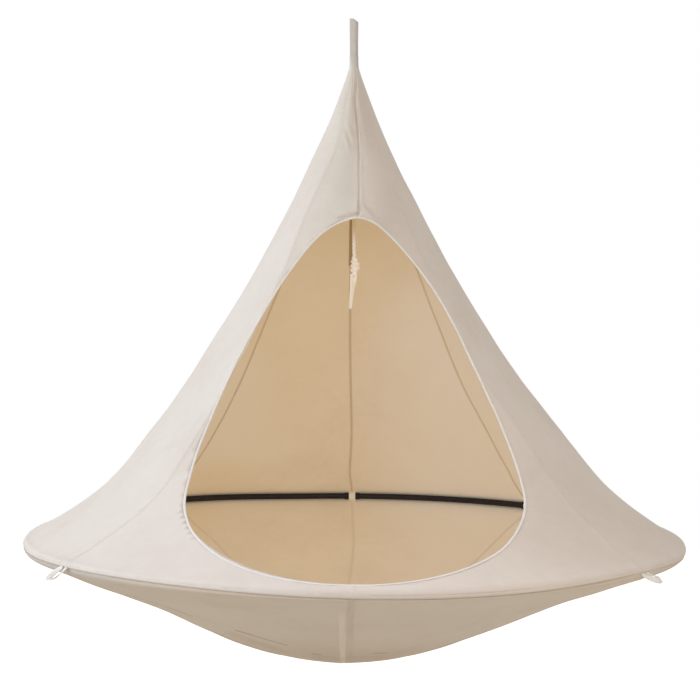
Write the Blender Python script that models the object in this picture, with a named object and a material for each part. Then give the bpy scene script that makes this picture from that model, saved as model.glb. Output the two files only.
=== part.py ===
"""A hanging tent: a cloth canopy of eight gores and a cloth floor of eight gores, sewn together
round a tubular ring and hung by one webbing loop, with a wide doorway in front and a grab rope inside.

Metres, +Z up. The origin is where a hook bears inside the hanging loop. The doorway faces -Y.
Azimuths are measured from the front (-Y), positive towards +X.
"""

import math

import bmesh
import bpy
from mathutils import Matrix, Vector
from mathutils.bvhtree import BVHTree

# The whole tent
RIM_DIAMETER = 1.500  # over the cloth, at the ring
APEX_HEIGHT = 1.120  # from the ring's plane up to the gathered tips of the canopy
FLOOR_DEPTH = 0.293  # from the ring's plane down to the middle of the floor
HANG_LENGTH = 0.125  # from the hook's bearing point down to the tips of the canopy
GORES = 8
FIT = 0.0003  # clearance between pieces that touch

# Cloth
CLOTH = 0.002  # canvas with its seam turnings
APEX_RADIUS = 0.012
APEX_LEAN = (0.151, -0.454)  # how the canopy leaves its tips: run out, run down
RIM_SLOPE = math.radians(22.4)  # how steeply the canopy meets the ring
RIM_PULL = 0.206  # how far that slope holds
FLOOR_SLOPE = math.radians(19.6)  # how steeply the floor leaves the ring
FLOOR_PULL = 0.253
FLOOR_SAG = 0.221  # how far the flat middle of the floor reaches out
FLOOR_HOLE = 0.030  # radius at which the floor gores stop, under the patch
FACET = 0.75  # how flat a gore is pulled between its seams: 0 round, 1 flat
FACET_RISE = 0.40  # height over the ring at which that flatness is reached
RIM_SEAM = math.radians(-20)  # where canopy and floor are sewn together, round the tube
CANOPY_STEPS = 10
FLOOR_STEPS = 8
WRAP_STEPS = 3  # steps of cloth round the tube, canopy side
FLOOR_WRAP_STEPS = 2

# Doorway, in the front view
DOOR_HEAD_CLOTH = 0.401  # cloth left over the doorway, measured upright to the tip
DOOR_BOTTOM = 0.0150  # height over the ring's plane
DOOR_SIDE_CLOTH = 0.2067  # cloth left beside it, measured across to the next seam at the rim
DOOR_WIDEST = 0.140  # height of the widest place
DOOR_TOP_ROUND = 0.108
DOOR_SIDE_UP = 0.172
DOOR_SIDE_DOWN = 0.1065
DOOR_BOTTOM_ROUND = 0.140
DOOR_STEPS = 16  # for each quarter of the outline
BINDING_RADIUS = 0.0025

# Webbing and tape
TAPE_WIDTH = 0.012
TAPE = 0.0012
TAPE_SPREAD = math.radians(8)  # widest that a tape may lie near the tips
LOOP_WEB_WIDTH = 0.022
WEB = 0.0025
LOOP_EYE = 0.014  # clear width of the hanging loop's eye
LOOP_EYE_LENGTH = 0.056  # from the bearing point to where the legs meet
NECK_HALF_WIDTH = 0.0115
NECK_HALF_DEPTH = 0.006
NECK_GAP = 0.033  # from the end of the loop's legs down to the canopy's tips

# Ring
TUBE_RADIUS = 0.009
TUBE_WALL = 0.0015
COUPLER_WALL = 0.0012
COUPLER_LENGTH = 0.048
TUBE_SIDES = 10
TAB_WIDTH = 0.020
TAB = 0.002
TAB_FLAP = 0.006

# Tie loops, sewn into the rim seam
TIE_AZIMUTHS = (-45, 45, 135, -135)
TIE_NAMES = ("front_left", "front_right", "rear_right", "rear_left")
TIE_LENGTH = 0.052
TIE_STRAND = 0.0065
TIE_EYE = 0.0065
TIE_THICK = 0.002
TIE_DROOP = math.radians(-33)
TIE_ROOT_BAR = 0.006
TIE_TIP_STEPS = 6

# Floor patch
PATCH_RADIUS = 0.090
PATCH = 0.002

# Grab rope. Depths are measured down from the canopy's tips.
CROWN_DEPTH = 0.045
ROPE_RADIUS = 0.0045
ROPE_TAB_WIDTH = 0.015
ROPE_TAB_CLEAR = 0.0005
ROPE_TAB_LEG = 0.0135  # from the crown down to the middle of the rope in the tab
EYE_BEND = 0.006
EYE_LENGTH = 0.034
WHIPPING_LENGTH = 0.022
WHIPPING_HALF_WIDTH = 0.0100
WHIPPING_HALF_DEPTH = 0.0060
KNOT_DEPTH = 0.460
KNOT_LENGTH = 0.046
KNOT_RADIUS = 0.0115
KNOT_TWIST = math.radians(300)
HAND_LOOP_DEPTH = 0.592
HAND_LOOP_HALF_WIDTH = 0.018
HAND_LOOP_LEAN = -0.15  # how far it leans to the left for each metre down

APEX_Z = -HANG_LENGTH
RING_Z = APEX_Z - APEX_HEIGHT
GORE_ANGLE = math.tau / GORES
DOOR_GORES = (0, 1, GORES - 2, GORES - 1)  # those that a wide doorway can reach
DOOR_TOP = APEX_HEIGHT - DOOR_HEAD_CLOTH  # height over the ring's plane
DOOR_HALF_WIDTH = RIM_DIAMETER / 2 * math.sin(GORE_ANGLE) - DOOR_SIDE_CLOTH
COUPLER_RADIUS = TUBE_RADIUS + FIT + COUPLER_WALL
WRAP_ANGLE = math.pi / 2 - RIM_SLOPE
WRAP_STEP = (WRAP_ANGLE - RIM_SEAM) / WRAP_STEPS
WRAP_INNER = (COUPLER_RADIUS + FIT) / math.cos(WRAP_STEP / 2)
WRAP_OUTER = WRAP_INNER + CLOTH
RING_RADIUS = RIM_DIAMETER / 2 - WRAP_OUTER

CANVAS = ("canvas", (0.80, 0.76, 0.70), 0.85, 0.0)
TAPE_CLOTH = ("seam_tape", (0.62, 0.50, 0.36), 0.85, 0.0)
WEBBING = ("webbing", (0.76, 0.73, 0.69), 0.80, 0.0)
BLACK_TUBE = ("black_tube", (0.03, 0.025, 0.03), 0.35, 0.0)
WHITE_BINDING = ("binding", (0.90, 0.88, 0.84), 0.75, 0.0)
COTTON_ROPE = ("cotton_rope", (0.84, 0.79, 0.70), 0.85, 0.0)


def clear_scene():
    for old in list(bpy.data.objects):
        bpy.data.objects.remove(old)


def finish(obj, look):
    """Gives an object its own material."""
    _, colour, roughness, metallic = look
    material = bpy.data.materials.new(f"{obj.name}_{look[0]}")
    material.use_nodes = True
    shader = material.node_tree.nodes["Principled BSDF"]
    shader.inputs["Base Color"].default_value = (*colour, 1.0)
    shader.inputs["Roughness"].default_value = roughness
    shader.inputs["Metallic"].default_value = metallic
    obj.data.materials.append(material)
    return obj


def mesh_object(name, bm, look, smooth=True):
    """Turns a bmesh into a named object with its faces pointing out."""
    bmesh.ops.recalc_face_normals(bm, faces=bm.faces)
    mesh = bpy.data.meshes.new(name)
    bm.to_mesh(mesh)
    bm.free()
    if smooth:
        mesh.shade_smooth()
        mesh.set_sharp_from_angle(angle=math.radians(40))
    obj = bpy.data.objects.new(name, mesh)
    bpy.context.scene.collection.objects.link(obj)
    return finish(obj, look)


def add_sheet(bm, outer, inner):
    """Adds a closed sheet between two grids of points of the same size."""
    top = [[bm.verts.new(p) for p in row] for row in outer]
    low = [[bm.verts.new(p) for p in row] for row in inner]
    rows = len(outer)
    cols = len(outer[0])
    for i in range(rows - 1):
        for j in range(cols - 1):
            bm.faces.new((top[i][j], top[i][j + 1], top[i + 1][j + 1], top[i + 1][j]))
            bm.faces.new((low[i][j], low[i + 1][j], low[i + 1][j + 1], low[i][j + 1]))
    for i in range(rows - 1):
        for j in (0, cols - 1):
            bm.faces.new((top[i][j], top[i + 1][j], low[i + 1][j], low[i][j]))
    for j in range(cols - 1):
        for i in (0, rows - 1):
            bm.faces.new((top[i][j], top[i][j + 1], low[i][j + 1], low[i][j]))


def sheet_object(name, outer, inner, look):
    bm = bmesh.new()
    add_sheet(bm, outer, inner)
    return mesh_object(name, bm, look)


def add_loft(bm, rings, cap_start=True, cap_end=True):
    """Skins closed rings of equal size, one after another."""
    loops = [[bm.verts.new(p) for p in ring] for ring in rings]
    for a, b in zip(loops, loops[1:]):
        for j in range(len(a)):
            k = (j + 1) % len(a)
            bm.faces.new((a[j], a[k], b[k], b[j]))
    if cap_start:
        bm.faces.new(loops[0])
    if cap_end:
        bm.faces.new(loops[-1])
    return loops


def loft_object(name, rings, look):
    bm = bmesh.new()
    add_loft(bm, rings)
    return mesh_object(name, bm, look)


def bezier(points, steps, start=0):
    """Points along a cubic Bezier curve in the plane, each with its direction."""
    found = []
    a, b, c, d = (Vector(p) for p in points)
    for i in range(start, steps + 1):
        t = i / steps
        s = 1 - t
        place = s**3 * a + 3 * s * s * t * b + 3 * s * t * t * c + t**3 * d
        way = s * s * (b - a) + 2 * s * t * (c - b) + t * t * (d - c)
        found.append((place, way.normalized()))
    return found


def through(points, count):
    """Points spread along a smooth curve that passes through the given points."""
    knots = [Vector(p) for p in points]
    knots = [2 * knots[0] - knots[1], *knots, 2 * knots[-1] - knots[-2]]
    fine = []
    per_span = 24
    for p0, p1, p2, p3 in zip(knots, knots[1:], knots[2:], knots[3:]):
        for i in range(per_span):
            t = i / per_span
            fine.append(
                0.5
                * (
                    2 * p1
                    + (p2 - p0) * t
                    + (2 * p0 - 5 * p1 + 4 * p2 - p3) * t * t
                    + (3 * p1 - p0 - 3 * p2 + p3) * t**3
                )
            )
    fine.append(knots[-2])
    lengths = [0.0]
    for p, q in zip(fine, fine[1:]):
        lengths.append(lengths[-1] + (q - p).length)
    spread = []
    for i in range(count):
        wanted = lengths[-1] * i / (count - 1)
        k = max(j for j in range(len(fine) - 1) if lengths[j] <= wanted or j == 0)
        share = (wanted - lengths[k]) / max(lengths[k + 1] - lengths[k], 1e-9)
        spread.append(fine[k].lerp(fine[k + 1], min(share, 1.0)))
    return spread


def rope_object(name, points, radius, look, round_start=False, round_end=False):
    """A tube along points, with domed or flat ends."""
    curve = bpy.data.curves.new(name, "CURVE")
    curve.dimensions = "3D"
    curve.bevel_depth = radius
    curve.bevel_resolution = 2
    curve.use_fill_caps = True
    places = [(Vector(p), 1.0) for p in points]
    if round_start:
        way = (places[1][0] - places[0][0]).normalized()
        first = places[0][0]
        cap = [(first + way * radius * back, math.sqrt(1 - (1 - back) ** 2)) for back in (0.04, 0.3, 0.7)]
        places = [*cap, (first + way * radius, 1.0), *places[1:]]
    if round_end:
        way = (places[-2][0] - places[-1][0]).normalized()
        last = places[-1][0]
        cap = [(last + way * radius * back, math.sqrt(1 - (1 - back) ** 2)) for back in (0.7, 0.3, 0.04)]
        places = [*places[:-1], (last + way * radius, 1.0), *cap]
    spline = curve.splines.new("POLY")
    spline.points.add(len(places) - 1)
    for point, (place, share) in zip(spline.points, places):
        point.co = (*place, 1.0)
        point.radius = share
    obj = bpy.data.objects.new(name, curve)
    bpy.context.scene.collection.objects.link(obj)
    return finish(obj, look)


def strap_grid(path, width, thickness, offset=0.0):
    """The two faces of a flat strap that follows a path in the YZ plane, with its width along X."""
    faces = ([], [])
    for i, p in enumerate(path):
        before = path[max(i - 1, 0)]
        after = path[min(i + 1, len(path) - 1)]
        way = (Vector(after) - Vector(before)).normalized()
        side = Vector((way[1], -way[0]))
        for face, sign in zip(faces, (1, -1)):
            q = Vector(p) + side * (offset + sign * thickness / 2)
            face.append([(x, q[0], q[1]) for x in (-width / 2, 0.0, width / 2)])
    return faces


# Shape of the cloth shell

def canopy_profile():
    """Rows of the canopy's outer face in the (radius, height) plane, tips first, with the way out."""
    centre = Vector((RING_RADIUS, 0.0))
    leave = centre + WRAP_OUTER * Vector((math.cos(WRAP_ANGLE), math.sin(WRAP_ANGLE)))
    tip = Vector((APEX_RADIUS, APEX_HEIGHT))
    slope = Vector((-math.cos(RIM_SLOPE), math.sin(RIM_SLOPE)))
    curve = bezier((tip, tip + Vector(APEX_LEAN), leave + slope * RIM_PULL, leave), CANOPY_STEPS)
    rows = [(p, Vector((-way[1], way[0]))) for p, way in curve]
    rows[0] = (tip, Vector((1.0, 0.0)))
    gap = FIT / 2 / WRAP_OUTER
    for i in range(1, WRAP_STEPS + 1):
        angle = WRAP_ANGLE - WRAP_STEP * i + (gap if i == WRAP_STEPS else 0.0)
        out = Vector((math.cos(angle), math.sin(angle)))
        rows.append((centre + WRAP_OUTER * out, out))
    return rows


def floor_profile():
    """Rows of the floor's outer face, from the rim seam inwards, with the way out."""
    centre = Vector((RING_RADIUS, 0.0))
    last = FLOOR_SLOPE - math.pi / 2
    gap = FIT / 2 / WRAP_OUTER
    rows = []
    for i in range(FLOOR_WRAP_STEPS):
        angle = RIM_SEAM + (last - RIM_SEAM) * i / FLOOR_WRAP_STEPS - (gap if i == 0 else 0.0)
        out = Vector((math.cos(angle), math.sin(angle)))
        rows.append((centre + WRAP_OUTER * out, out))
    leave = centre + WRAP_OUTER * Vector((math.cos(last), math.sin(last)))
    slope = Vector((-math.cos(FLOOR_SLOPE), -math.sin(FLOOR_SLOPE)))
    middle = Vector((FLOOR_HOLE, -FLOOR_DEPTH))
    curve = bezier((leave, leave + slope * FLOOR_PULL, middle + Vector((FLOOR_SAG, 0.0)), middle), FLOOR_STEPS)
    rows += [(p, Vector((-way[1], way[0]))) for p, way in curve]
    return rows


def facet_share(height):
    """How far the cloth at this height is pulled flat between its seams."""
    t = min(max(abs(height) / FACET_RISE, 0.0), 1.0)
    return FACET * t * t * (3 - 2 * t)


def shell_point(place, azimuth, share):
    """A point of the shell at an azimuth: round at share 0, a flat-sided polygon at share 1."""
    half = GORE_ANGLE / 2
    from_middle = (azimuth % GORE_ANGLE) - half
    flat = math.cos(half) / math.cos(from_middle)
    radius = place[0] * (1 - share * (1 - flat))
    return Vector((radius * math.sin(azimuth), -radius * math.cos(azimuth), RING_Z + place[1]))


def tape_angle(radius):
    """Half of the angle that a seam tape covers at a radius."""
    return min(TAPE_WIDTH / 2 / max(radius, 1e-6), TAPE_SPREAD)


def gore_columns(radius):
    """Azimuths across one gore, counted from its first seam."""
    gap = FIT / 2 / radius
    tape = tape_angle(radius)
    inside = [GORE_ANGLE * k / 4 for k in (1, 2, 3)]
    return [gap, tape, *inside, GORE_ANGLE - tape, GORE_ANGLE - gap]


def shell_grid(rows, first, columns, depth):
    """Points of the shell at a depth under its outer face, for each row and column."""
    grid = []
    for place, out in rows:
        sunk = place - out * depth
        share = facet_share(place[1])
        grid.append([shell_point(sunk, first + a, share) for a in columns(place[0])])
    return grid


def gore(name, rows, index):
    """One gore of cloth between two seams."""
    first = GORE_ANGLE * index
    outer = shell_grid(rows, first, gore_columns, 0.0)
    inner = shell_grid(rows, first, gore_columns, CLOTH)
    return sheet_object(name, outer, inner, CANVAS)


def seam_web(name, rows, joined):
    """The tapes sewn over the inside of the seams, which run together at the joined row."""
    bm = bmesh.new()
    faces = []
    for depth in (CLOTH + FIT, CLOTH + FIT + TAPE):
        face = []
        for place, out in rows:
            tape = tape_angle(place[0])
            share = facet_share(place[1])
            azimuths = [GORE_ANGLE * seam + a for seam in range(GORES) for a in (-tape, 0.0, tape)]
            face.append([bm.verts.new(shell_point(place - out * depth, a, share)) for a in azimuths])
        faces.append(face)
    count = 3 * GORES
    last = len(rows) - 1

    def covered(row, col):
        return 0 <= row < last and (col % 3 != 2 or row == joined)

    for row in range(last):
        for col in range(count):
            if not covered(row, col):
                continue
            after = (col + 1) % count
            for face in faces:
                bm.faces.new((face[row][col], face[row][after], face[row + 1][after], face[row + 1][col]))
            edges = (
                (row, col, row, after, row - 1, col),
                (row + 1, after, row + 1, col, row + 1, col),
                (row + 1, col, row, col, row, (col - 1) % count),
                (row, after, row + 1, after, row, after),
            )
            for r0, c0, r1, c1, next_row, next_col in edges:
                if not covered(next_row, next_col):
                    bm.faces.new((faces[0][r0][c0], faces[0][r1][c1], faces[1][r1][c1], faces[1][r0][c0]))
    return mesh_object(name, bm, TAPE_CLOTH)


# Doorway

def door_outline(inset=0.0):
    """The doorway's closed outline in the front view, as (x, height over the ring)."""
    upper = bezier(
        (
            (0.0, DOOR_TOP),
            (DOOR_TOP_ROUND, DOOR_TOP),
            (DOOR_HALF_WIDTH, DOOR_WIDEST + DOOR_SIDE_UP),
            (DOOR_HALF_WIDTH, DOOR_WIDEST),
        ),
        DOOR_STEPS,
    )
    lower = bezier(
        (
            (DOOR_HALF_WIDTH, DOOR_WIDEST),
            (DOOR_HALF_WIDTH, DOOR_WIDEST - DOOR_SIDE_DOWN),
            (DOOR_BOTTOM_ROUND, DOOR_BOTTOM),
            (0.0, DOOR_BOTTOM),
        ),
        DOOR_STEPS,
        start=1,
    )
    right = [p + Vector((way[1], -way[0])) * inset for p, way in upper + lower]
    left = [Vector((-p[0], p[1])) for p in reversed(right[1:-1])]
    return right + left


def door_cutter():
    """A block with the doorway's outline that reaches through the front of the canopy."""
    outline = door_outline()
    rings = []
    for y in (-RIM_DIAMETER, -APEX_RADIUS - 2 * ROPE_TAB_WIDTH):
        rings.append([(x, y, RING_Z + z) for x, z in outline])
    cutter = loft_object("door_cutter", rings, CANVAS)
    cutter.hide_render = True
    cutter.display_type = "WIRE"
    return cutter


def cut_with(obj, cutter):
    cut = obj.modifiers.new("doorway", "BOOLEAN")
    cut.operation = "DIFFERENCE"
    cut.object = cutter
    cut.solver = "EXACT"


def door_binding(rows):
    """The bound edge of the doorway, lying in the cut edge of the cloth."""
    outer = [shell_grid(rows, GORE_ANGLE * i, gore_columns, CLOTH / 2) for i in DOOR_GORES]
    verts = []
    faces = []
    for grid in outer:
        base = len(verts)
        cols = len(grid[0])
        for row in grid:
            verts += row
        for i in range(len(grid) - 1):
            for j in range(cols - 1):
                a = base + i * cols + j
                faces.append((a, a + 1, a + cols + 1, a + cols))
    cloth = BVHTree.FromPolygons(verts, faces)
    path = []
    for x, z in door_outline(BINDING_RADIUS + FIT):
        aside = x if abs(x) > FIT else FIT
        hit = cloth.ray_cast(Vector((aside, -RIM_DIAMETER, RING_Z + z)), Vector((0, 1, 0)))[0]
        path.append(Vector((x, hit[1], RING_Z + z)))
    bm = bmesh.new()
    sides = 6
    loops = []
    for i, p in enumerate(path):
        way = (path[(i + 1) % len(path)] - path[i - 1]).normalized()
        side = way.cross(Vector((0, 1, 0))).normalized()
        up = side.cross(way)
        ring = []
        for k in range(sides):
            angle = math.tau * k / sides
            ring.append(bm.verts.new(p + (side * math.cos(angle) + up * math.sin(angle)) * BINDING_RADIUS))
        loops.append(ring)
    for i, a in enumerate(loops):
        b = loops[(i + 1) % len(loops)]
        for k in range(sides):
            m = (k + 1) % sides
            bm.faces.new((a[k], a[m], b[m], b[k]))
    return mesh_object("door_binding", bm, WHITE_BINDING)


# Ring

def rim_stations(first, last):
    """Azimuths between two azimuths where the rim's cloth has its corners, with both ends."""
    corners = []
    for seam in range(-1, GORES + 1):
        start = GORE_ANGLE * seam
        tape = tape_angle(RIM_DIAMETER / 2)
        corners += [start, start + tape, start + GORE_ANGLE - tape]
        corners += [start + GORE_ANGLE * k / 4 for k in (1, 2, 3)]
    inside = sorted(a for a in set(corners) if first + 1e-6 < a < last - 1e-6)
    return [first, *inside, last]


def rim_corner_radius(azimuth, radius):
    """The radius at an azimuth of the polygon whose corners lie on a circle at the rim's stations."""
    span = rim_stations(azimuth - GORE_ANGLE, azimuth + GORE_ANGLE)[1:-1]
    if any(abs(a - azimuth) < 1e-6 for a in span):
        return radius
    low = max(a for a in span if a < azimuth)
    high = min(a for a in span if a > azimuth)
    return radius * math.cos((high - low) / 2) / math.cos(azimuth - (low + high) / 2)


def ring_loop(azimuth, section_radius, sides=TUBE_SIDES):
    """A cross-section round the ring's tube at an azimuth."""
    centre = rim_corner_radius(azimuth, RING_RADIUS)
    loop = []
    for k in range(sides):
        angle = math.tau * k / sides
        r = centre + section_radius * math.cos(angle)
        z = section_radius * math.sin(angle)
        loop.append((r * math.sin(azimuth), -r * math.cos(azimuth), RING_Z + z))
    return loop


def ring_tube(name, first, last, outer, bore):
    """A length of bent tube with its bore, along the ring."""
    bm = bmesh.new()
    stations = rim_stations(first, last)
    skin = add_loft(bm, [ring_loop(a, outer) for a in stations], False, False)
    hole = add_loft(bm, [ring_loop(a, bore) for a in stations], False, False)
    for end in (0, -1):
        for k in range(TUBE_SIDES):
            m = (k + 1) % TUBE_SIDES
            bm.faces.new((skin[end][k], skin[end][m], hole[end][m], hole[end][k]))
    return mesh_object(name, bm, BLACK_TUBE)


def ring_tab(name, azimuth, canopy, floor):
    """A tape tab that passes round the inside of the ring and lies on the canopy and the floor."""
    half_step = math.radians(15)
    inner = (COUPLER_RADIUS + FIT) / math.cos(half_step)
    centre = Vector((RING_RADIUS, 0.0))
    near = [p - n * (CLOTH + FIT + TAB) for p, n in canopy[CANOPY_STEPS - 1:CANOPY_STEPS + 1]]
    far = [p - n * (CLOTH + FIT + TAB) for p, n in floor[FLOOR_WRAP_STEPS:FLOOR_WRAP_STEPS + 2]]
    up = (near[0] - near[1]).normalized()
    down = (far[1] - far[0]).normalized()
    start = math.radians(120)
    stop = math.radians(240)
    bend = [centre + inner * Vector((math.cos(a), math.sin(a))) for a in
            (start + (stop - start) * k / 4 for k in range(5))]
    root_up = near[1] + up * (bend[0] - near[1]).dot(up) + up * TAB
    root_down = far[0] + down * (bend[-1] - far[0]).dot(down) + down * TAB
    line = [root_up + up * TAB_FLAP, root_up, *bend, root_down, root_down + down * TAB_FLAP]
    faces = ([], [])
    for i, p in enumerate(line):
        if i < 2:
            out = Vector((up[1], -up[0]))
            out = out if out[1] > 0 else -out
            pair = (p, p + out * TAB)
        elif i >= len(line) - 2:
            out = Vector((down[1], -down[0]))
            out = out if out[1] < 0 else -out
            pair = (p, p + out * TAB)
        else:
            away = (p - centre).normalized()
            pair = (p + away * TAB, p)
        for face, q in zip(faces, pair):
            spread = TAB_WIDTH / 2 / q[0]
            face.append([
                Vector((q[0] * math.sin(azimuth + s), -q[0] * math.cos(azimuth + s), RING_Z + q[1]))
                for s in (-spread, 0.0, spread)
            ])
    return sheet_object(name, faces[0], faces[1], WEBBING)


# Tie loops

def tie_loop(name, azimuth):
    """A flat loop of tape, its root sewn into the rim seam."""
    half = TIE_EYE / 2 + TIE_STRAND
    straight = TIE_LENGTH - half
    nose = TIE_THICK * 0.4
    outer = [(nose, -half), (nose, half), (straight, half)]
    inner = [(TIE_ROOT_BAR, -TIE_EYE / 2), (TIE_ROOT_BAR, TIE_EYE / 2), (straight, TIE_EYE / 2)]
    for k in range(1, TIE_TIP_STEPS + 1):
        angle = math.pi / 2 - math.pi * k / TIE_TIP_STEPS
        outer.append((straight + half * math.cos(angle), half * math.sin(angle)))
        inner.append((straight + TIE_EYE / 2 * math.cos(angle), TIE_EYE / 2 * math.sin(angle)))
    edge = [(0.0, -half), (0.0, half), *outer[2:]]
    pivot = tie_pivot(azimuth)
    radial = Vector((math.sin(azimuth), -math.cos(azimuth), 0.0))
    across = Vector((math.cos(azimuth), math.sin(azimuth), 0.0))
    along = radial * math.cos(TIE_DROOP) + Vector((0, 0, math.sin(TIE_DROOP)))
    over = across.cross(along)

    def place(u, v, w):
        return pivot + along * (u - TIE_THICK / 2) + across * v + over * w

    bm = bmesh.new()
    rings = []
    for w, line in ((-TIE_THICK / 2, inner), (-TIE_THICK / 2, outer), (0.0, edge),
                    (TIE_THICK / 2, outer), (TIE_THICK / 2, inner)):
        rings.append([bm.verts.new(place(u, v, w)) for u, v in line])
    for a, b in zip(rings, rings[1:] + rings[:1]):
        for k in range(len(a)):
            m = (k + 1) % len(a)
            bm.faces.new((a[k], a[m], b[m], b[k]))
    return mesh_object(name, bm, WHITE_BINDING)


def tie_pivot(azimuth):
    """The line on which a tie loop turns, just clear of the rim seam."""
    reach = WRAP_OUTER + FIT + TIE_THICK / 2
    r = RING_RADIUS + reach * math.cos(RIM_SEAM)
    z = RING_Z + reach * math.sin(RIM_SEAM)
    return Vector((r * math.sin(azimuth), -r * math.cos(azimuth), z))


# Floor patch

def floor_patch(floor):
    """A round patch under the floor, over the tips of its gores."""
    rings = []
    stations = [GORE_ANGLE * k / 4 for k in range(4 * GORES)]
    rows = [(p, n) for p, n in floor if p[0] < PATCH_RADIUS]
    last_out = next(p for p, n in reversed(floor) if p[0] >= PATCH_RADIUS)
    first_in, normal = rows[0]
    share = (PATCH_RADIUS - first_in[0]) / (last_out[0] - first_in[0])
    rows = [(first_in.lerp(last_out, share), normal), *rows]
    bm = bmesh.new()
    for depth in (FIT, FIT + PATCH):
        face = []
        for p, n in rows:
            q = p + Vector((0.0, -depth))
            face.append([shell_point(q, a, 0.0) for a in stations])
        rings.append(face)
    order = [*rings[0][::-1], *rings[1]]
    add_loft(bm, order)
    return mesh_object("floor_patch", bm, CANVAS)


# Hanging loop, neck and crown

def hanging_loop():
    """A closed loop of webbing whose legs are stitched together below the eye."""
    middle = WEB / 2
    half_eye = LOOP_EYE / 2 + middle
    leg = middle + FIT / 2
    end = APEX_Z + NECK_GAP
    centre_z = -LOOP_EYE / 2
    side = []
    for k in range(5):
        angle = math.pi / 2 * k / 4
        side.append((half_eye * math.sin(angle), centre_z + half_eye * math.cos(angle)))
    fall = 5
    for k in range(1, fall + 1):
        t = k / fall
        ease = t * t * (3 - 2 * t)
        side.append((half_eye + (leg - half_eye) * ease, centre_z + (-LOOP_EYE_LENGTH - centre_z) * t))
    side.append((leg, end))
    path = [(-y, z) for y, z in reversed(side[1:])] + side
    outer, inner = strap_grid(path, LOOP_WEB_WIDTH, WEB)
    return sheet_object("hanging_loop", outer, inner, WEBBING)


def oval(half_width, half_depth, z, roundness, count=16):
    """A closed oval ring: roundness 1 is an ellipse, less is squarer."""
    ring = []
    for k in range(count):
        angle = math.tau * (k + 0.5) / count
        c = math.cos(angle)
        s = math.sin(angle)
        x = half_width * math.copysign(abs(c) ** roundness, c)
        y = half_depth * math.copysign(abs(s) ** roundness, s)
        ring.append((x, y, z))
    return ring


def neck_wrap():
    """The gathered neck: round over the canopy's tips, flat and rolled over where the loop bears."""
    top = swing_height()
    rings = [
        oval(APEX_RADIUS, APEX_RADIUS, APEX_Z + FIT, 1.0),
        oval(APEX_RADIUS * 1.02, APEX_RADIUS * 0.85, APEX_Z + NECK_GAP * 0.25, 0.9),
        oval(NECK_HALF_WIDTH, NECK_HALF_DEPTH, APEX_Z + NECK_GAP * 0.6, 0.6),
    ]
    for k in range(5):
        angle = math.radians(20 * k)
        rings.append(oval(NECK_HALF_WIDTH, NECK_HALF_DEPTH * math.cos(angle),
                          top + NECK_HALF_DEPTH * math.sin(angle), 0.6))
    return loft_object("neck_wrap", rings, CANVAS)


def swing_height():
    """The height of the line on which the neck bends under the hanging loop."""
    return APEX_Z + NECK_GAP - FIT - NECK_HALF_DEPTH


def crown_gather(rows):
    """The gathered ends of the seam tapes, a stitched cone inside the tips of the canopy."""
    (top, _), (low, _) = rows[0], rows[1]
    half = math.cos(GORE_ANGLE / 2)
    slope = (low[0] - top[0]) / (top[1] - low[1])
    share = 1 - facet_share(APEX_HEIGHT) * (1 - half)
    wall = (CLOTH + FIT + TAPE + FIT) * math.hypot(1.0, slope)
    rings = []
    for depth in (0.0, CROWN_DEPTH):
        radius = (top[0] + slope * depth) * share - wall
        rings.append([
            (radius * math.sin(a), -radius * math.cos(a), APEX_Z - depth)
            for a in (math.tau * k / 16 for k in range(16))
        ])
    return loft_object("crown_gather", rings, WEBBING)


# Grab rope

def rope_pivot():
    return Vector((0.0, 0.0, APEX_Z - CROWN_DEPTH - FIT - ROPE_TAB_LEG))


def rope_tab():
    """A webbing stirrup under the crown that carries the rope's eye."""
    pivot = rope_pivot()
    bend = ROPE_RADIUS + ROPE_TAB_CLEAR + WEB / 2
    top = APEX_Z - CROWN_DEPTH - FIT
    half_turn = [(bend * math.cos(a), pivot[2] + bend * math.sin(a)) for a in
                 (-math.pi * k / 8 for k in range(9))]
    path = [(bend, top), *half_turn, (-bend, top)]
    outer, inner = strap_grid(path, ROPE_TAB_WIDTH, WEB)
    return sheet_object("rope_tab", outer, inner, WEBBING)


def rope_eye():
    """The rope's eye, from one side of the whipping through the tab and back."""
    pivot = rope_pivot()
    straight = ROPE_TAB_WIDTH / 2 + ROPE_RADIUS * 0.1
    leg = ROPE_RADIUS + FIT
    low = pivot[2] - EYE_LENGTH
    side = [(0.0, 0.0), (straight, 0.0)]
    for k in range(1, 4):
        angle = math.pi / 2 * k / 3
        side.append((straight + EYE_BEND * math.sin(angle), EYE_BEND * (math.cos(angle) - 1)))
    widest = straight + EYE_BEND
    fall = EYE_LENGTH - EYE_BEND - 2 * ROPE_RADIUS
    for k in range(1, 5):
        t = k / 4
        ease = t * t * (3 - 2 * t)
        side.append((widest + (leg - widest) * ease, -EYE_BEND - fall * t))
    points = [(x, 0.0, pivot[2] + z) for x, z in side] + [(leg, 0.0, low)]
    path = [(-x, y, z) for x, y, z in reversed(points[1:])] + points
    return rope_object("rope_eye", path, ROPE_RADIUS, COTTON_ROPE)


def rope_whipping():
    """The twine whipping that closes the eye."""
    top = rope_pivot()[2] - EYE_LENGTH - FIT
    low = top - WHIPPING_LENGTH
    rings = [
        oval(WHIPPING_HALF_WIDTH * share, WHIPPING_HALF_DEPTH * share, top + (low - top) * t, 0.9)
        for t, share in ((0.0, 0.86), (0.15, 1.0), (0.8, 0.92), (1.0, 0.62))
    ]
    return loft_object("rope_whipping", rings, WEBBING)


def sway_pivot():
    """The middle of the rope's domed top end, under the whipping."""
    low = rope_pivot()[2] - EYE_LENGTH - FIT - WHIPPING_LENGTH
    return Vector((0.0, 0.0, low - FIT - ROPE_RADIUS))


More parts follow.
